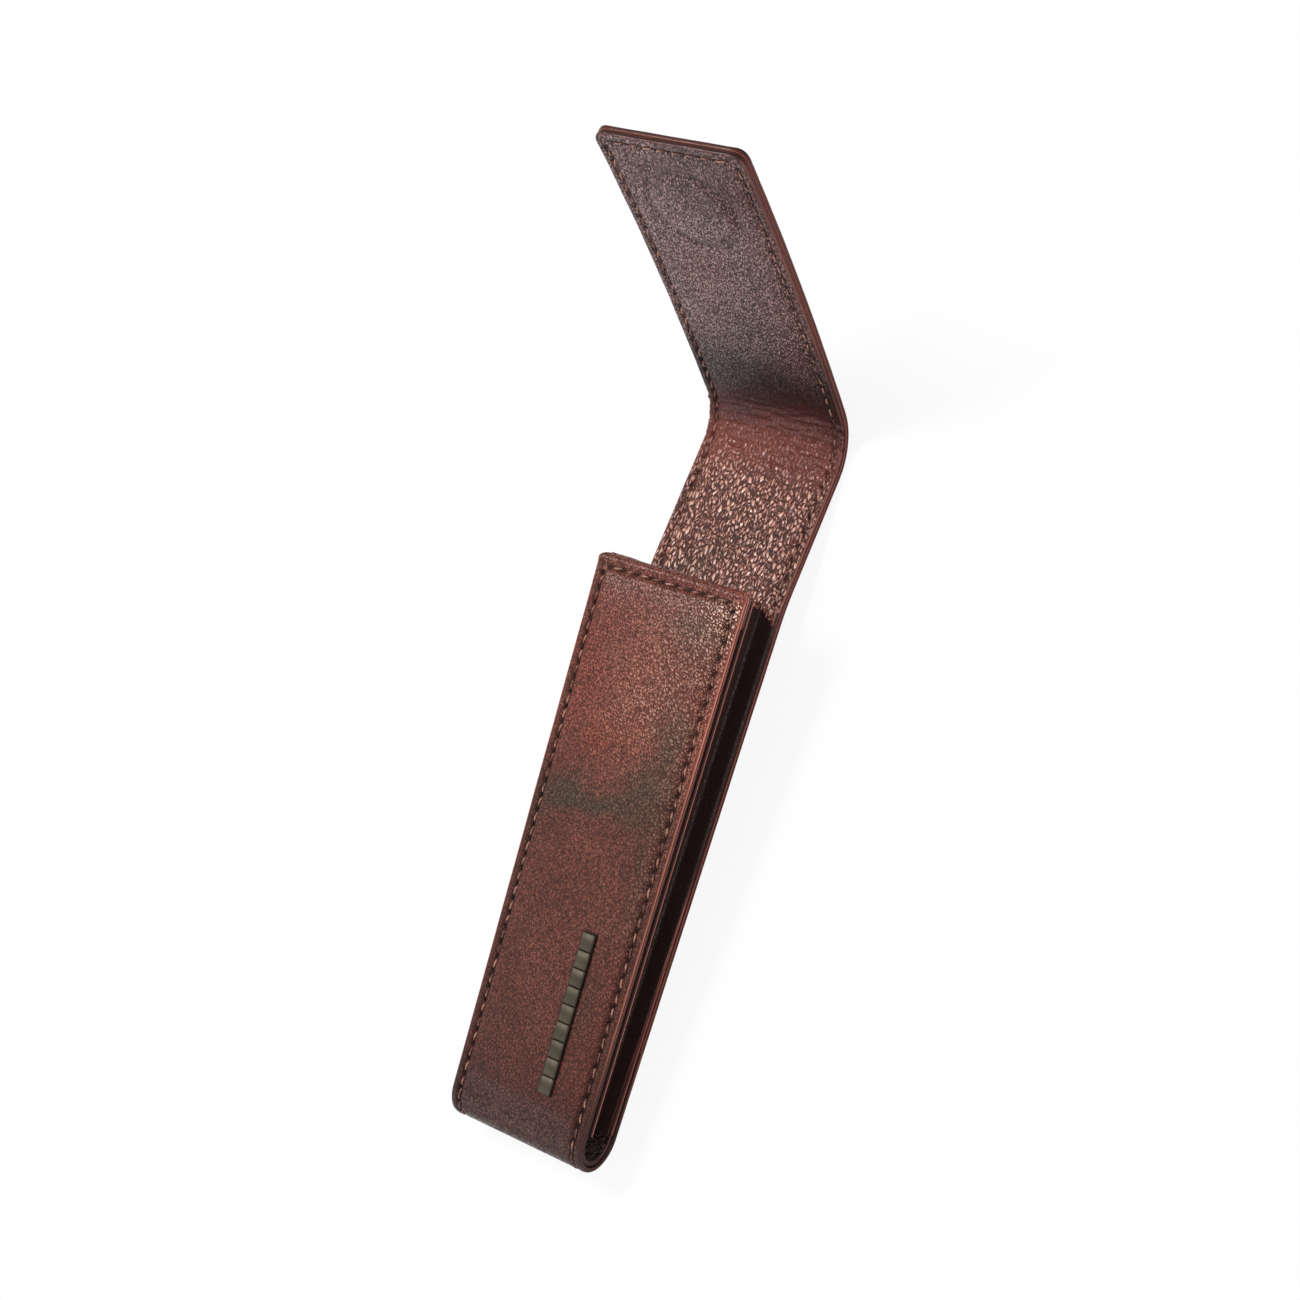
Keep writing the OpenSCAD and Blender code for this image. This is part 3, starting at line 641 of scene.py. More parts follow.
def seams(x, s, holes, ends):
    """How deep the seams pull the face down, and where the needle went through, from 0 to 1. ends are the
    cross seams as (distance along, half length, holes). Where seams meet, the deeper one counts."""
    past = 0.6
    inside = (s > holes[0] - past) & (s < holes[-1] + past)
    groove, pierce = seam_line(SEAM - edge_of(x, s), nearest(s, holes), inside)
    for at, reach_x, row in ends:
        cross = seam_line(s - at, nearest(x, row), np.abs(x) < reach_x + past)
        groove, pierce = np.maximum(groove, cross[0]), np.maximum(pierce, cross[1])
    return groove, pierce


MOUTH_END = [(MOUTH_SEAM, mouth_half, mouth_holes)]
TIP_END = [(TIP_AT - SEAM, tip_half, tip_holes)]


# %% [markdown]
# ## The outer leather
# The front panel is padded: it swells inside its seam, and its edge is turned in at the mouth, which makes
# a plump roll there. A cushion simulation could swell it, but the pad is thin and held by a seam all round,
# so its height is simply given: it rises over a couple of millimetres inside the seam and crowns gently.

# %% Height of the outer face
def uneven(x, s, length, seed):
    """Gentle unevenness, mostly from -1 to 1: a fifth of the sum of eight sine waves of about one length,
    in random directions, from the seed."""
    rng = np.random.default_rng(seed)
    waves = zip(rng.uniform(0, math.pi, 8), rng.uniform(0, 2 * math.pi, 8), rng.uniform(0.7, 1.5, 8))
    total = np.zeros(np.broadcast(x, s).shape)
    for angle, phase, scale in waves:
        total += np.sin((x * math.cos(angle) + s * math.sin(angle)) * 2 * math.pi / (length * scale) + phase)
    return total / 5


PAD = 0.9                                               # how far the padding lifts the panel at most
BAR_X, BAR_AT, BAR_LEN, BAR_W = 6.1, 6.9, 36.6, 3.4     # the metal bar: its place, length and width
GROOVE, HOLE = 0.2, 0.3                                 # how deep a seam and its holes are


def pad_height(x, s):
    """The front panel's swelling: a slope inside the side seams, the mouth seam and the base fold, and a
    crown over it, which is the product of 1 - (1 - t)^2 in from the sides and down from the mouth."""
    e = edge_of(x, s) - SEAM
    down = s - MOUTH_SEAM
    field = smooth(e / 1.3) * smooth(down / 1.4) * smooth((BASE_AT - s + 1.5) / 7)
    over, down = (1 - (1 - np.clip(t, 0, 1)) ** 2 for t in (e / 11, down / 14))
    return field * (PAD - 0.35 + 0.5 * over * down + 0.1 * uneven(x, s, 16, 5))


def outer_top(x, s):
    """Depth of the outer face, which is less than 0 where it swells: seams and the bar's seat go in, and
    the padding, a soft roll outside the seams and a plump one at the mouth stand out."""
    groove, pierce = seams(x, s, side_holes, MOUTH_END + TIP_END)
    roll = 0.1 * bell((edge_of(x, s) - 1.2) / 0.6) + 0.2 * bell((s - 1.4) / 0.9) * smooth((BASE_AT - s) / 9)
    seat = 0.1 * smooth((BAR_W / 2 + 0.5 - np.abs(x - BAR_X)) / 0.6)
    seat = seat * smooth((BAR_LEN / 2 + 0.5 - np.abs(BASE_AT - s - BAR_AT - BAR_LEN / 2)) / 0.6)
    return GROOVE * groove + HOLE * pierce + seat - pad_height(x, s) - roll - 0.03 * uneven(x, s, 9, 11)


def outer_bottom(x, s):
    """Depth of the inner side: the turned-in hem doubles the leather at the mouth."""
    return LEATHER + (LINING - 0.02) * smooth((HEM_LEN - s) / 0.4) - 0.02


# %% [markdown]
# ## Dye, wear and painted light of the outer leather
# The oiled dye is smoky in broad patches and redder in others. Painted shade makes it darker towards the
# base and on the left, painted light makes it brighter over the upper front, and the grain's tops are
# painted pale at the upper right, as wear and painted highlight. Noise alone would put such patches
# anywhere, and a painted picture isn't used here. So each patch is a broad oval at its own place on the
# panel, with its border stirred, and the mesh carries the result from point to point, which keeps it in
# place when the piece bends.

# %% Dye, wear and painted light and shade of the outer leather
SMOKE = [(-5, 70, 15, 3.6, 0.95), (9, 76, 7, 5, 0.85), (13, 86, 4, 7, 0.7), (9, 93, 5, 6, 0.4),
         (9, 112, 9, 5, 0.55), (13, 62, 4, 7, 0.5), (14, 50, 4, 6, 0.4), (-16, 64, 4, 6, 0.4),
         (9, 30, 4, 14, 0.4), (-14, 119, 6, 3, 0.35)]
EMBER = [(-13, 101, 5, 15, 1.0), (-8, 84, 8, 8, 0.7), (14, 30, 4, 16, 0.6), (-4, 109, 8, 7, 0.45),
         (-10, 56, 7, 4, 0.35), (16, 92, 2.5, 26, 0.6), (0, 5, 26, 12, 0.9), (-14, 28, 5, 16, 0.5)]
# Patches where the grain's tops are pale, as wear and painted highlight.
RUBBED_AND_HIGHLIGHT = [(17, 120, 5, 7, 1.0), (14, 108, 8, 14, 0.26), (3, 98, 9, 14, 0.14), (15, 70, 3, 25, 0.12)]


def ovals(x, y, patches):
    """The sum of broad ovals, each given as x, y, its size both ways and its depth, as depth times a bell."""
    return sum(depth * bell(np.hypot((x - px) / rx, (y - py) / ry)) for px, py, rx, ry, depth in patches)


def clouds(x, s, patches, seed):
    """The ovals of the front panel, with their borders stirred, and loose clouds everywhere else."""
    y = BASE_AT - s
    stirred_x, stirred_y = x + 2.0 * uneven(x, s, 13, seed), y + 2.0 * uneven(x, s, 13, seed + 1)
    placed = np.clip(ovals(stirred_x, stirred_y, patches), 0, 1)
    loose = np.clip(0.1 + 0.4 * uneven(x, s, 34, seed + 2), 0, 1)
    return np.where(s < BASE_AT, placed, loose + (placed - loose) * bell((s - BASE_AT) / 9))


def outer_painted_shading(x, s, rim):
    """Painted light and painted shade, as a brightness of the dye: painted light over the upper front,
    painted shade down to the base and on the left, and even on the back. The painted edge gets painted shade
    round the base and at the flap's tip, and the border outside the seam is darker too, as painted shade,
    except along the upper right, where it gets painted light."""
    y = BASE_AT - s
    # Painted light over the upper front, painted shade towards the base, on the left and at the edges.
    painted_shading = 0.82 + 0.36 * smooth((y - 70) / 20) + ovals(x, y, [(2, 95, 9, 14, 0.2)])
    painted_shading = painted_shading - 0.18 * smooth((50 - y) / 40) - 0.3 * smooth((16 - y) / 18)
    painted_shading = painted_shading * (1 - 0.12 * smooth((-4 - x) / 8)) + 0.38 * smooth((-22 - y) / 20)
    painted_shading = painted_shading * (1 - 0.5 * rim * smooth((26 - y) / 18) * smooth((y + 26) / 8))
    painted_shading = painted_shading * (1 - 0.4 * rim * smooth((s - TIP_AT + 1.6) / 0.8))
    lit = smooth((x - 4) / 6) * smooth((y - 55) / 30)
    return painted_shading * (1 + (0.45 * lit - 0.22) * smooth((2.6 - edge_of(x, s)) / 0.6) * (1 - rim))


def outer_rubbed_and_highlight(x, s):
    """How pale the grain's tops are, as wear and painted highlight: most at the upper right corner, less
    down that side, and hardly anywhere else."""
    return 0.06 + ovals(x, BASE_AT - s, RUBBED_AND_HIGHLIGHT) * smooth((s - 1.5) / 3) * (s < BASE_AT)


print(f"{len(SMOKE)} smoky, {len(EMBER)} reddish and {len(RUBBED_AND_HIGHLIGHT)} rubbed patches")

# %% Outer leather: front, back, bend and flap
EXT_MID, BEND_MID, BACK_SPLIT = (EXT_AT + BEND_AT) / 2, (BEND_AT + FLAP_AT) / 2, BACK_AT + 20
OUTER_R, HEM_R, LINING_R = 0.55, 1.25, 0.45     # how round the edges are: leather, its hem and the lining


def dress(piece, material):
    """Give a piece its material."""
    piece.data.materials.append(material)
    return piece


def outer_piece(name, rows, half=strip_half, start=None, end=None, finish=OUTER):
    """One stretch of the outer leather."""
    x, s, depth, rim = sheet_loops(rows, half, outer_top, outer_bottom, OUTER_R, start, end)
    pierce = seams(x, s, side_holes, MOUTH_END + TIP_END)[1] * (depth < LEATHER / 2)
    # The mesh carries painted light and shade, and pale tops that are partly painted highlights.
    values = {"lay": np.stack([x, s, depth], -1), "rim": rim, "pierce": pierce, "worn": 0.4 * rim,
              "smoke_and_shade": clouds(x, s, SMOKE, 31), "ember": clouds(x, s, EMBER, 36),
              "painted_shading": outer_painted_shading(x, s, rim), "rubbed_and_highlight": outer_rubbed_and_highlight(x, s)}
    return dress(make_tube(name, on_strip(x, s, depth), values), finish)


def flap_rows(radius):
    """Rows from the middle of the bend to the tip, closer together over its last 6 mm."""
    near = TIP_AT - 6
    return np.concatenate([rows_between(BEND_MID, near)[:-1], rows_between(near, TIP_AT, 0.2, end=radius)])


front_rows = np.concatenate([rows_between(0, 6, 0.2, start=HEM_R), rows_between(6, BACK_SPLIT)[1:]])
outer_front = outer_piece("outer_leather_front", front_rows, cornered(strip_half, 0, 1, 1.7),
                          start=(0, HEM_R), finish=FRONT)
outer_back = outer_piece("outer_leather_back", rows_between(BACK_SPLIT, EXT_MID, 0.45))
outer_bend = outer_piece("outer_leather_bend", rows_between(EXT_MID, BEND_MID))
outer_flap = outer_piece("outer_leather_flap", flap_rows(OUTER_R), cornered(strip_half, TIP_AT, -1),
                         end=(TIP_AT, OUTER_R))

# %% [markdown]
# ## The lining
# The lining is the soft pebbled leather of the inside: a fine greyish one on the flap and in the pocket,
# and a coarser, redder one on the back and round the bend. It wrinkles across the bend, where it is on the
# short side, and a round magnet under it raises a disc near the flap's tip. A simulation could crumple it,
# but the creases should stay where the photograph shows them, so both are given as heights.

# %% Height of the lining
MAGNET_AT = FLAP_AT + (FLAP_LEN - 19) * (flap_r - LEATHER) / flap_r     # 19 mm from the tip, round the curl
LINING_GROOVE, LINING_HOLE = 0.2, 0.28


def wrinkles(x, s):
    """Creases across the bend: three trains of sharpened waves that wander with x, inside the bend only."""
    zone = smooth((s - BEND_AT + 3) / 5) * smooth((FLAP_AT + 3 - s) / 6)
    total = 0
    for length, amount, seed in ((2.3, 0.2, 41), (1.3, 0.1, 42), (3.9, 0.2, 43)):
        wander = 2.2 * uneven(x, s * 0.4, 11, seed) + 1.1 * uneven(x, s, 5, seed + 7)
        phase = s * 2 * math.pi / length + wander
        total = total + amount * (1 - 2 * np.abs(np.sin(phase / 2)) ** 0.8)
    return zone * total * (0.7 + 0.3 * uneven(x, s, 8, 44))


def lining_face(x, s):
    """Depth of the lining's own face, which is more than the sheet's thickness where it swells."""
    groove, pierce = seams(x, s, lining_holes, TIP_END)
    r = np.hypot(x, s - MAGNET_AT)
    disc = 0.5 * smooth((10 - r) / 2.2) - 0.2 * bell((r - 10.6) / 0.9)
    e = edge_of(x, s)
    puff = 0.12 * smooth((e - 2.6) / 3) + 0.08 * bell((e - 1.2) / 0.6)
    seen = smooth((s - EXT_AT + 6) / 6)
    up = seen * (puff + wrinkles(x, s)) + disc + 0.05 * uneven(x, s, 10, 51)
    return SHEET - 0.08 + up - LINING_GROOVE * groove - LINING_HOLE * pierce


def lining_back(x, s):
    """Depth of the side against the leather."""
    return LEATHER + 0.01 + 0 * x


def lining_half(s):
    """The lining is trimmed a little narrower than the leather, and narrower still inside the pocket."""
    return strip_half(s) - 0.1 - 0.2 * smooth((EXT_AT - s) / 12)


# %% Dye, wear and painted light and shade of the lining
def lining_dye_and_shading(x, s, rim):
    """Clouds, wear, painted light and painted shade on the lining. It is reddest and worn smooth round the
    bend. Painted shade makes it darkest on the flap just past the bend, in a ring round the magnet and
    inside the pocket, with a band of painted light higher on the flap. Its tops are painted palest on the
    back, past the mouth, as wear and painted highlight."""
    # Smoky clouds, and a bell just past the bend that is painted shade.
    smoke_and_shade = 0.3 + 0.3 * uneven(x, s, 24, 61) + 0.6 * bell((s - FLAP_AT - 6) / 10)
    ember = 0.15 + 0.25 * uneven(x, s, 20, 64) + 1.1 * bell((s - BEND_MID - 2) / 12)
    ember = ember + 0.25 * smooth((x - 4) / 10)
    bent = smooth((s - BEND_AT + 9) / 14) * smooth((FLAP_AT + 9 - s) / 8)
    r = np.hypot(x, s - MAGNET_AT)
    # Painted light and shade as a brightness: lighter on the back, painted shade just past the bend, towards
    # the tip and left of the back, and a band of painted light higher on the flap.
    painted_shading = 1.06 - 0.06 * x / 15 + 0.1 * smooth((BEND_AT - s) / 8) - 0.58 * bell((s - FLAP_AT - 7) / 14)
    painted_shading = painted_shading + 0.1 * bell((s - FLAP_AT - 38) / 16) - 0.08 * smooth((s - FLAP_AT - 56) / 10)
    painted_shading = painted_shading * (1 - 0.1 * bell((s - EXT_AT - 14) / 12) * smooth((4 - x) / 12))
    # Painted shade in the crease round the magnet, and painted light just inside it.
    ring = 0.22 + 0.2 * uneven(x, s, 14, 69)
    painted_shading = painted_shading - ring * bell((r - 10.6) / 1.0) + 0.12 * bell((r - 8.4) / 1.5)
    # Painted shade inside the pocket, at the tip's edge and along the border.
    painted_shading = painted_shading * (0.4 + 0.6 * smooth((s - EXT_AT + 10) / 6))
    painted_shading = painted_shading * (1 - 0.7 * rim * smooth((s - TIP_AT + 1.6) / 0.8))
    painted_shading = painted_shading * (1 - 0.15 * smooth((2.2 - edge_of(x, s)) / 0.5))
    # Pale tops, as wear and painted highlights, palest on the back past the mouth.
    rubbed_and_highlight = 0.26 + 0.14 * uneven(x, s, 26, 67) + 0.24 * smooth((BEND_AT + 2 - s) / 10)
    return {"smoke_and_shade": smoke_and_shade, "ember": ember, "worn": 0.75 * bent, "painted_shading": painted_shading,
            "rubbed_and_highlight": rubbed_and_highlight * (1 - 0.6 * bent)}


# %% Lining: pocket, back, bend and flap
def lining_piece(name, rows, half=lining_half, end=None, finish=FINE):
    """One stretch of the lining, with its grain face inwards."""
    x, s, depth, rim = sheet_loops(rows, half, lining_back, lining_face, LINING_R, None, end, spacing=3.0,
                                   under=0.36)
    pierce = 0.7 * seams(x, s, lining_holes, TIP_END)[1] * (depth > LEATHER + LINING / 2)
    values = {"lay": np.stack([x, s, depth], -1), "rim": rim, "pierce": pierce, **lining_dye_and_shading(x, s, rim)}
    return dress(make_tube(name, on_strip(x, s, depth), values), finish)


lining_front = lining_piece("lining_front", rows_between(HEM_LEN + 0.2, BACK_SPLIT, 0.8))
lining_rear = lining_piece("lining_back", rows_between(BACK_SPLIT, EXT_MID, 0.4), finish=COARSE)
lining_bend = lining_piece("lining_bend", rows_between(EXT_MID, BEND_MID, 0.3), finish=COARSE)
lining_flap = lining_piece("lining_flap", flap_rows(LINING_R), cornered(lining_half, TIP_AT, -1),
                           end=(TIP_AT, LINING_R))

# %% [markdown]
# ## Riding and fold lines
# The flap shuts along three fold lines. A stiff piece would tear there, so each piece of the strip covers
# one fold line, between the two bodies listed for it. The cuts between pieces lie midway between fold lines,
# where both neighbours follow the same body.

# %% Fold lines, the pocket's pieces, and the parts each piece stands for
def fold_points(at, before, after):
    """Two points of the path on either side of a fold line, in metres."""
    return [tuple(on_strip(0.0, at + d, LEATHER) * MM) for d in (-before, after)]


FOLDS = [("pocket", "extension", *fold_points(EXT_AT, -0.3, 7)),
         ("extension", "hinge", *fold_points(BEND_AT, 4, 4)),
         ("hinge", "flap", *fold_points(FLAP_AT, 4, 4))]


def bends(piece, fold, *nodes):
    """The piece stands for these nodes, which are hidden, and its place is baked into its mesh. fold is not
    used.
    """
    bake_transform(piece)
    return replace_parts(piece, *nodes)


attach(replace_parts(outer_front, "front_leather", "base_leather"), "pocket")
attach(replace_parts(lining_front, "front_lining", "base_lining"), "pocket")
bends(outer_back, 0, "back_leather", "extension_leather")
bends(lining_rear, 0, "back_lining", "extension_lining")
bends(outer_bend, 1, "hinge_leather")
bends(lining_bend, 1, "hinge_lining")
bends(outer_flap, 2, "flap_leather")
bends(lining_flap, 2, "flap_lining")
print("bending across:", [f"{a} to {b}" for a, b, *_ in FOLDS])

# %% [markdown]
# ## The gussets
# Each side is closed by a narrow strip of dark leather, bent into a channel: a flange sewn under the front,
# a wall set in from the edges, and a flange sewn to the back. Two boxes and a plate would show three hard
# joints, so the channel is one sheet: its section, with rounded bends and a wall that gives a little, is
# carried up the pocket. At the top its edge is folded over as a plump hem, which spreads over both flanges.

# %% Section of a gusset
GUSSET_X, GUSSET_T = STRIP_W / 2 - 4.5, 1.0             # where the wall is, and how thick
GUSSET_LOW, GUSSET_HIGH = 8.5, POCKET_LEN - 1.6         # its ends along the pocket
GUSSET_BEND, INSET, SAG = 1.3, 0.35, 0.5                # its bends, the flanges' inset, the wall's give


def front_under(y, depth):
    """Height of the front panel's layer at a depth, at a distance y along the pocket."""
    return base_r + (base_r - depth) / math.cos(TILT) + (y - base_r) * math.tan(TILT)


def front_half(y):
    """Half the front panel's width at a distance y along the pocket."""
    return strip_half(BASE_AT - (y - base_r))


def gusset_line(y):
    """The channel's middle line at each y: flange, bend, wall, bend, flange. The wall gives way by half a
    sine wave. Returns x and z, rows by points."""
    y = y[:, None]
    low, high = SHEET + GUSSET_T / 2, front_under(y, SHEET + GUSSET_T / 2)
    x0, r = GUSSET_X - GUSSET_T / 2, GUSSET_BEND
    back_out, front_out = STRIP_W / 2 - INSET - x0 - r, front_half(y) - INSET - x0 - r
    out = np.linspace(0, 1, 7)[None, :]
    arc = np.radians(np.linspace(0, 90, 7))[None, 1:-1]
    up = np.linspace(0, 1, 21)[None, :]
    sag = SAG * np.sin(np.pi * up) * (1 + 0.5 * uneven(0 * up, y, 38, 71))
    ones = np.ones_like(y)
    x = [x0 + r + ones * back_out * (1 - out), ones * (x0 + r - r * np.sin(arc)), x0 - sag,
         ones * (x0 + r - r * np.cos(arc)), x0 + r + front_out * out]
    z = [ones * low + 0 * out, low + r * (1 - np.cos(arc)) * ones, low + r + (high - low - 2 * r) * up,
         high - r * (1 - np.sin(arc)), high + 0 * out]
    return np.concatenate(x, 1), np.concatenate(z, 1)


def thick_line(x, z, t):
    """A closed loop round an open line: the line moved to each side by half the thickness, and rounded
    ends."""
    dx, dz = np.gradient(x, axis=1), np.gradient(z, axis=1)
    n = np.hypot(dx, dz)
    nx, nz = -dz / n, dx / n
    loops = [np.stack([x + nx * t / 2, z + nz * t / 2], -1)]
    angles = np.radians([30, 60, 90, 120, 150])[None, :]
    for end, way in ((-1, 1), (0, -1)):
        tx, tz = way * (dx / n)[:, end][:, None], way * (dz / n)[:, end][:, None]
        sx, sz = way * nx[:, end][:, None], way * nz[:, end][:, None]
        cap_x = x[:, end][:, None] + t / 2 * (sx * np.cos(angles) + tx * np.sin(angles))
        cap_z = z[:, end][:, None] + t / 2 * (sz * np.cos(angles) + tz * np.sin(angles))
        loops.append(np.stack([cap_x, cap_z], -1))
        if end == -1:
            loops.append(np.stack([x - nx * t / 2, z - nz * t / 2], -1)[:, ::-1])
    return np.concatenate(loops, 1)


def gusset(name, side):
    """One gusset: its section carried from above the base fold to just under the mouth. Its dye is laid out
    along the section, and the flanges' edges are painted through their thickness."""
    y = np.concatenate([[GUSSET_LOW], np.linspace(GUSSET_LOW + 0.3, GUSSET_HIGH - 0.3, 240), [GUSSET_HIGH]])
    x, z = gusset_line(y)
    section = thick_line(x, z, GUSSET_T)
    rows = np.broadcast_to(y[:, None], section.shape[:2])
    points = rested(side * section[..., 0], rows, section[..., 1])
    rim = smooth((section[..., 0] - (front_half(rows) - 0.75)) / 0.3)
    run = np.concatenate([[0], np.cumsum(np.hypot(*np.diff(section[0], axis=0).T))])
    at_front = section[..., 1] > SHEET + 5
    middle = np.where(at_front, front_under(rows, SHEET + GUSSET_T / 2), SHEET + GUSSET_T / 2)
    through = np.clip((section[..., 1] - middle) / GUSSET_T + 0.5, 0, 1)
    lay = np.stack([np.broadcast_to(run, rows.shape), rows, SHEET * through * rim], -1)
    zero = np.zeros(rows.shape)
    values = {"lay": lay, "rim": rim, "pierce": zero, "smoke_and_shade": zero + 0.3, "ember": zero, "worn": zero,
              "painted_shading": zero + 1, "rubbed_and_highlight": zero + 0.1}
    piece = make_tube(name, points, values)
    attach(dress(piece, GUSSET), "pocket")
    return piece


def gusset_hem(name, side):
    """The hem folded over a gusset's top edge: a plump band round its section. Across the band, t goes from
    -1 to 1 and its thickness falls off as the root of 1 - |t|^3. It rises to the mouth on the front flange,
    and its lower edge drops by a few millimetres towards the end of the back one."""
    t = np.linspace(-1, 1, 17)
    band = GUSSET_HIGH + 0.2 + 0.7 * t
    x, z = gusset_line(band)
    plump = np.sqrt(np.clip(1 - np.abs(t) ** 3, 0.02, 1))[:, None]
    section = thick_line(x, z, GUSSET_T + 0.06 + 0.55 * plump)
    px, pz = np.minimum(section[..., 0], STRIP_W / 2 - 0.12), section[..., 1]
    at_front = smooth((pz - SHEET - 4) / (front_under(GUSSET_HIGH, SHEET) - SHEET - 6))
    out = smooth((px - GUSSET_X) / 4) * (1 - at_front)
    t = t[:, None]
    py = band[:, None] + 1.0 * at_front * (1 + t) / 2 - 2.6 * out * (1 - t) / 2
    zero = np.zeros(px.shape)
    rim = smooth((px - STRIP_W / 2 + 0.6) / 0.2)
    # At its outer ends the hem takes the edge's light line, a painted highlight on the rounded end.
    lay = np.stack([px, py, np.where(rim > 0.5, 0.92 * SHEET, pz)], -1)
    values = {"lay": lay, "rim": rim, "pierce": zero, "smoke_and_shade": zero + 0.2, "ember": zero + 0.4, "worn": zero,
              "painted_shading": zero + 1, "rubbed_and_highlight": zero + 0.4}
    piece = make_tube(name, rested(side * px, py, pz), values)
    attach(dress(piece, COARSE), "pocket")
    return piece


# %% Both gussets
for word, side in (("right", 1), ("left", -1)):
    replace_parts(gusset(f"{word}_gusset_channel", side), f"{word}_gusset")
    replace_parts(gusset_hem(f"{word}_gusset_edge", side), f"{word}_gusset_hem")

# %% [markdown]
# ## Stitches
# A stitch is a short length of thread that dives into the leather at both ends. One shape is worked out
# once, as rings round a bent line, and laid at every place as one array. Each has only a few dozen faces,
# as there are hundreds of them.

# %% One stitch, laid many times, and where stitches go
STITCH, THREAD_W, THREAD_T = PITCH * 0.7, 0.46, 0.32        # a stitch's length, width and height
SLANT = math.radians(8)


def stitch_shape(length, width, thick):
    """Rings of six points along a line that bows up as a cosine: x across, y along, z up."""
    t = np.linspace(-1, 1, 7)[:, None]
    a = np.radians(np.arange(0, 360, 60))[None, :]
    slim = np.sqrt(np.clip(1 - np.abs(t) ** 3, 0.06, 1))
    x = width / 2 * slim * np.cos(a)
    z = thick / 2 * slim * np.sin(a) + 0.30 * np.cos(t * math.pi / 2) ** 0.8 - 0.2 + 0 * a
    return np.stack([x, t * length / 2 + 0 * a, z], -1)


def lay_stitches(name, rows, face, up):
    """Stitches at rows of (x, s, direction) on a face. face gives its depth, and up is -1 on the outer face
    and 1 on the inner one. direction is 0 along the strip and 90 degrees across it, plus the slant."""
    shape = stitch_shape(STITCH, THREAD_W, THREAD_T)
    rings, around = shape.shape[:2]
    x0, s0, way = (np.array(v)[:, None, None] for v in zip(*rows))
    c, n = np.cos(way), np.sin(way)
    x = x0 + shape[None, ..., 0] * c - shape[None, ..., 1] * n
    s = s0 + shape[None, ..., 0] * n + shape[None, ..., 1] * c
    base = face(x0 + 0 * x, s0 + 0 * s)
    depth = base + up * (shape[None, ..., 2] + 0.12)
    points = on_strip(x, s, depth).reshape(-1, 3)
    one = tube_faces(rings, around)
    first = np.arange(len(rows))[:, None, None] * rings * around
    faces = (np.array(one[:-2])[None] + first).reshape(-1, 4).tolist()
    faces += (np.array(one[-2:])[None] + first).reshape(-1, around).tolist()
    shift = np.arange(len(rows))[:, None, None, None] * 3.7
    piece = make_mesh(name, points, faces, {"lay": (shape[None] + shift).reshape(-1, 3)})
    return dress(piece, THREAD)


def side_rows(holes, low, high, up):
    """Stitches down both side seams, midway between the holes that lie from low to high."""
    mid = (holes[1:] + holes[:-1]) / 2
    mid = mid[(mid > low) & (mid <= high)]
    return [(side * (strip_half(s) - SEAM), s, side * SLANT * up) for side in (-1, 1) for s in mid]


def cross_rows(holes, at, up):
    """Stitches across the strip."""
    return [(x, at, math.pi / 2 + SLANT * up) for x in (holes[1:] + holes[:-1]) / 2]


def stitch_base(x, s):
    """Depth of the outer face under a stitch, without the holes."""
    return outer_top(x, s) - HOLE * seams(x, s, side_holes, MOUTH_END + TIP_END)[1]


def stitch_base_inner(x, s):
    """Depth of the lining's face under a stitch, without the holes."""
    return lining_face(x, s) + LINING_HOLE * seams(x, s, lining_holes, TIP_END)[1]


# %% The seams, stretch by stretch
rows = side_rows(side_holes, 0, BACK_SPLIT, -1) + cross_rows(mouth_holes, MOUTH_SEAM, -1)
thread_front = lay_stitches("thread_front", rows, stitch_base, -1)
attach(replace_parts(thread_front, "front_thread", "base_thread"), "pocket")
thread_back = lay_stitches("thread_back", side_rows(side_holes, BACK_SPLIT, EXT_MID, -1), stitch_base, -1)
bends(thread_back, 0, "back_thread", "extension_thread")
rows = side_rows(lining_holes, EXT_AT, EXT_MID, 1)
bends(lay_stitches("thread_extension_inside", rows, stitch_base_inner, 1), 0)
thread_bend = lay_stitches("thread_bend", side_rows(side_holes, EXT_MID, BEND_MID, -1), stitch_base, -1)
bends(thread_bend, 1, "hinge_thread")
rows = side_rows(lining_holes, EXT_MID, BEND_MID, 1)
bends(lay_stitches("thread_bend_inside", rows, stitch_base_inner, 1), 1)
rows = side_rows(side_holes, BEND_MID, TIP_AT, -1) + cross_rows(tip_holes, TIP_AT - SEAM, -1)
bends(lay_stitches("thread_flap", rows, stitch_base, -1), 2, "flap_thread")
rows = side_rows(lining_holes, BEND_MID, TIP_AT, 1) + cross_rows(tip_holes, TIP_AT - SEAM, 1)
bends(lay_stitches("thread_flap_inside", rows, stitch_base_inner, 1), 2)

# %% [markdown]
# ## The metal bar
# A plain dark bar lies low on the front panel, in nine equal facets with a small step between them. It
# could be a box with grooves cut by a modifier. As its section only grows and shrinks along its length, a
# loop is carried along it instead, with its sides bevelled.

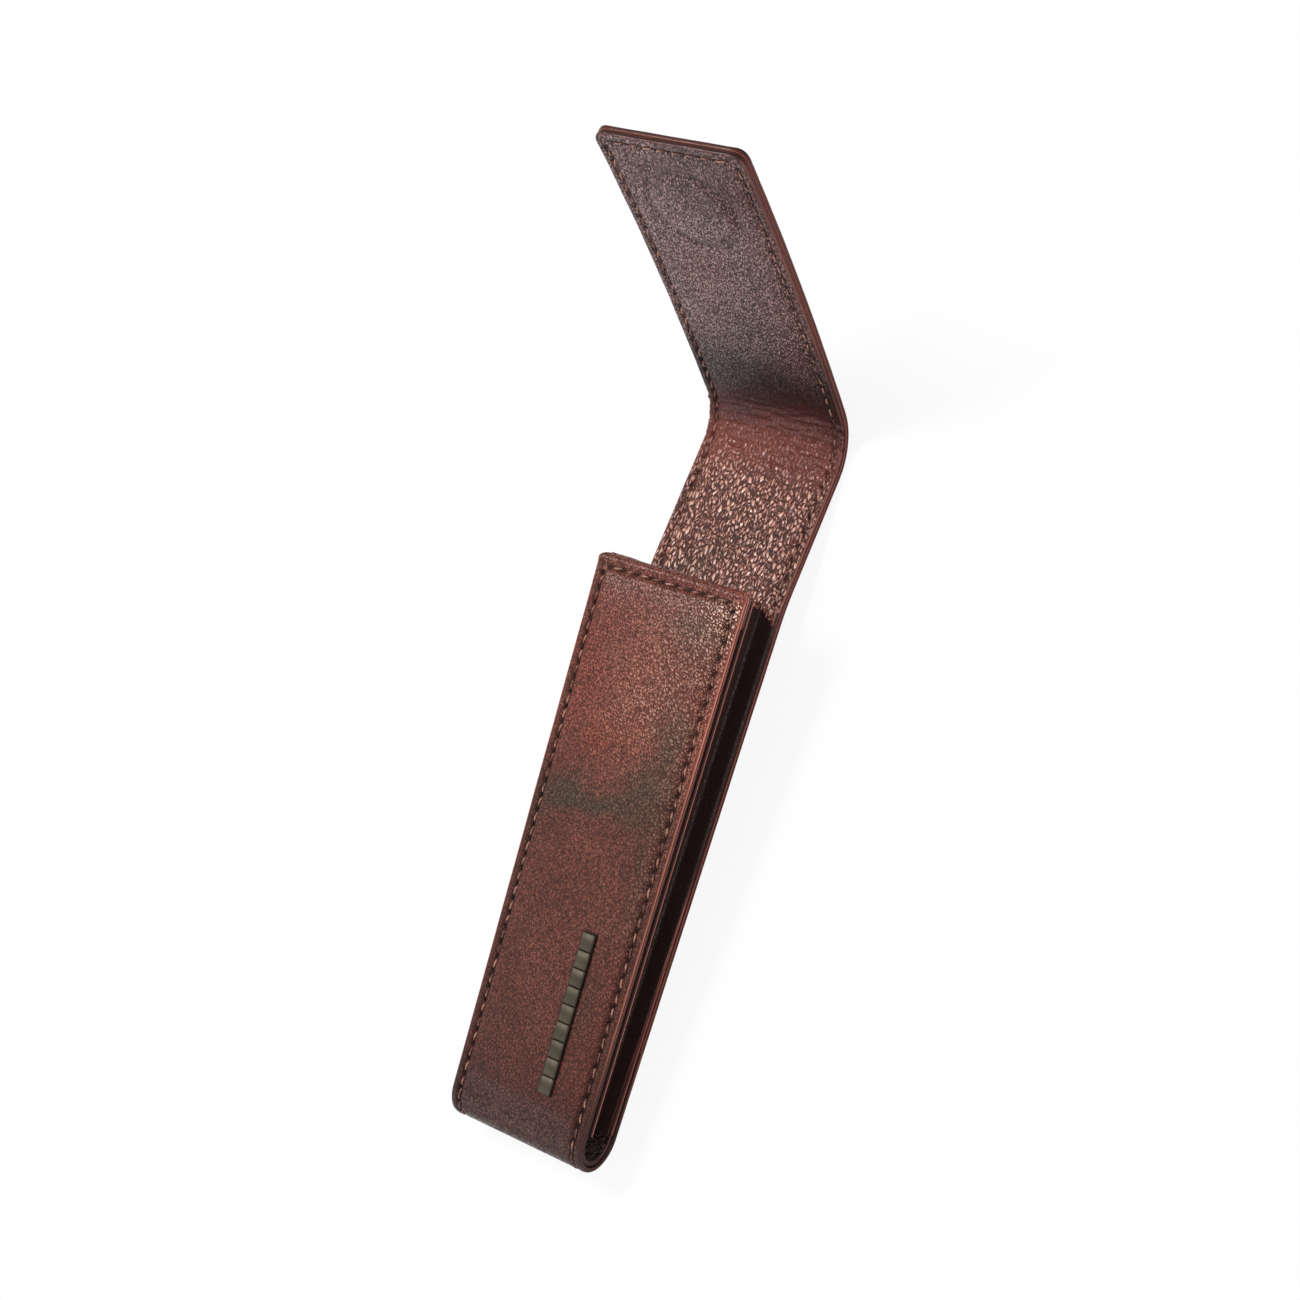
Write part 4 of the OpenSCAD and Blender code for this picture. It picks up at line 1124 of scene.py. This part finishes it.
# %% The bar
def bar_piece():
    """The bar, a loop with bevelled sides that lies on the padded panel and dips between its facets. Its
    prongs go through the leather behind it, where they can't be seen, and are left to the model."""
    facets, height_mm, dip, slope = 9, 0.9, 0.3, 0.24
    facet = BAR_LEN / facets
    one = np.array([0, 0.08, 0.16, slope, facet / 2, facet - slope, facet - 0.16, facet - 0.08])
    y = np.concatenate([(one[None, :] + facet * np.arange(facets)[:, None]).ravel(), [BAR_LEN]])
    t = np.minimum(y % facet, facet - y % facet)
    low = 1 - smooth(t / slope)
    top = height_mm - dip * low
    w = BAR_W / 2 - 0.1 * low
    side = np.array([1, 1, 0.98, 0.88, 0.8, 0, -0.8, -0.88, -0.98, -1, -1])
    height = np.array([-0.25, 0.6, 0.8, 0.97, 1, 1, 1, 0.97, 0.8, 0.6, -0.25])
    x = BAR_X + w[:, None] * side[None, :]
    up = np.where(height[None, :] > 0, top[:, None] * height[None, :], height[None, :])
    s = np.broadcast_to(BASE_AT - BAR_AT - y[:, None], x.shape)
    piece = make_tube("front_metal_bar", on_strip(x, s, -PAD - up), {})
    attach(dress(piece, GUNMETAL), "pocket")
    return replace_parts(piece, "front_bar")


bar_piece()

# %% [markdown]
# ## What stays hidden
# The foam under the front panel, the magnets and the washers stay inside. The foam is soft, so it gets a
# crowned pad of its own. The rigid ones are right as they are and only need their finishes.

# %% Foam, magnets and washers
def foam_pad():
    """A thin pad that follows the panel's swelling from below, with a flat back."""
    def half(s):
        return strip_half(s) - 4.6

    def top(x, s):
        return 0.2 - 0.9 * pad_height(x, s)

    def bottom(x, s):
        return LEATHER - 0.1 + 0 * x

    low, high, radius = HEM_LEN + 0.6, BASE_AT - 5.5, 0.4
    x, s, depth, _ = sheet_loops(rows_between(low, high, 1.0, radius, radius), half, top, bottom,
                                 0.3, (low, radius), (high, radius), spacing=1.5)
    piece = make_tube("front_foam_pad", on_strip(x, s, depth), {})
    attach(dress(piece, FOAM), "pocket")
    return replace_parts(piece, "front_padding")


foam = foam_pad()
for name in ("front_magnet", "flap_magnet", "bar_washers"):
    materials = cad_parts[name].data.materials
    materials.clear()
    materials.append(STEEL)

# %% [markdown]
# ## Floor and light
# The floor is plain white paper and keeps a soft shadow. Lamps strong enough to turn it white would bleach
# the leather, so to the camera it is nearly clear, and the white world shows through it. Three soft lamps
# light the sleeve: a narrow one high on the left that brings out the grain, a wide one low in front, and a
# weak one from the right for the edges. The sky fills in the rest.

# %% Floor
SEE_THROUGH, FLOOR_HALF = 0.91, 4       # how clear the floor is to the camera, and half its side in metres


def paper_floor():
    """A wide sheet of white paper under the sleeve. The camera sees through most of it, and shadows pass
    it, so that the flap still shows where it swings below the floor."""
    material, tree, shader = new_finish("white paper")
    place = put(tree, "TexCoord").outputs["Object"]
    fibre = put(tree, "TexNoise", Vector=place, Scale=900, Detail=3.0).outputs[0]
    tree.links.new(tint(tree, fibre, (0.86, 0.86, 0.86, 1), (0.9, 0.9, 0.9, 1)), shader.inputs["Base Color"])
    shader.inputs["Roughness"].default_value = 0.9
    path = put(tree, "LightPath")
    clear = put(tree, "BsdfTransparent").outputs[0]
    share = sums(tree, "MULTIPLY", path.outputs["Is Camera Ray"], SEE_THROUGH)
    share = sums(tree, "MAXIMUM", share, path.outputs["Is Shadow Ray"])
    mixed = put(tree, "MixShader", i0=share, i1=shader.outputs[0], i2=clear).outputs[0]
    tree.links.new(mixed, tree.nodes["Material Output"].inputs["Surface"])
    mesh = bpy.data.meshes.new("paper_floor")
    corners = [(x * FLOOR_HALF, y * FLOOR_HALF, 0) for x, y in ((-1, -1), (1, -1), (1, 1), (-1, 1))]
    mesh.from_pydata(corners, [], [(0, 1, 2, 3)])
    mesh.materials.append(material)
    floor = bpy.data.objects.new("paper_floor", mesh)
    bpy.context.scene.collection.objects.link(floor)


paper_floor()


# %% Sky and lamps
def lamp(name, place, size, watts):
    """A soft lamp, so wide and so long, that faces the sleeve."""
    light = bpy.data.lights.new(name, "AREA")
    light.shape = "RECTANGLE"
    light.size, light.size_y = size
    light.energy = watts
    holder = bpy.data.objects.new(name, light)
    bpy.context.scene.collection.objects.link(holder)
    holder.location = place
    aim = holder.location.normalized()
    holder.rotation_euler = aim.to_track_quat("Z", "Y").to_euler()
    print(f"{name} lamp: {watts} W at {place}")


world = bpy.data.worlds.new("studio")
bpy.context.scene.world = world
world.use_nodes = True
sky = world.node_tree
path = put(sky, "LightPath")
seen = sums(sky, "MAXIMUM", path.outputs["Is Camera Ray"], path.outputs["Is Glossy Ray"])
seen = sums(sky, "MAXIMUM", seen, path.outputs["Is Transmission Ray"])
white = put(sky, "Background", Color=(1, 1, 1, 1), Strength=1.0).outputs[0]
fill = put(sky, "Background", Color=(1, 1, 1, 1), Strength=0.3).outputs[0]
out = put(sky, "MixShader", i0=seen, i1=fill, i2=white).outputs[0]
sky.links.new(out, sky.nodes["World Output"].inputs["Surface"])
lamp("key", (-0.41, 0.235, 0.855), (0.3, 0.08), 7.5)
lamp("front", (-0.5, -0.75, 0.5), (0.8, 0.6), 3.5)
lamp("side", (0.75, 0.1, 0.5), (0.4, 0.4), 1.5)
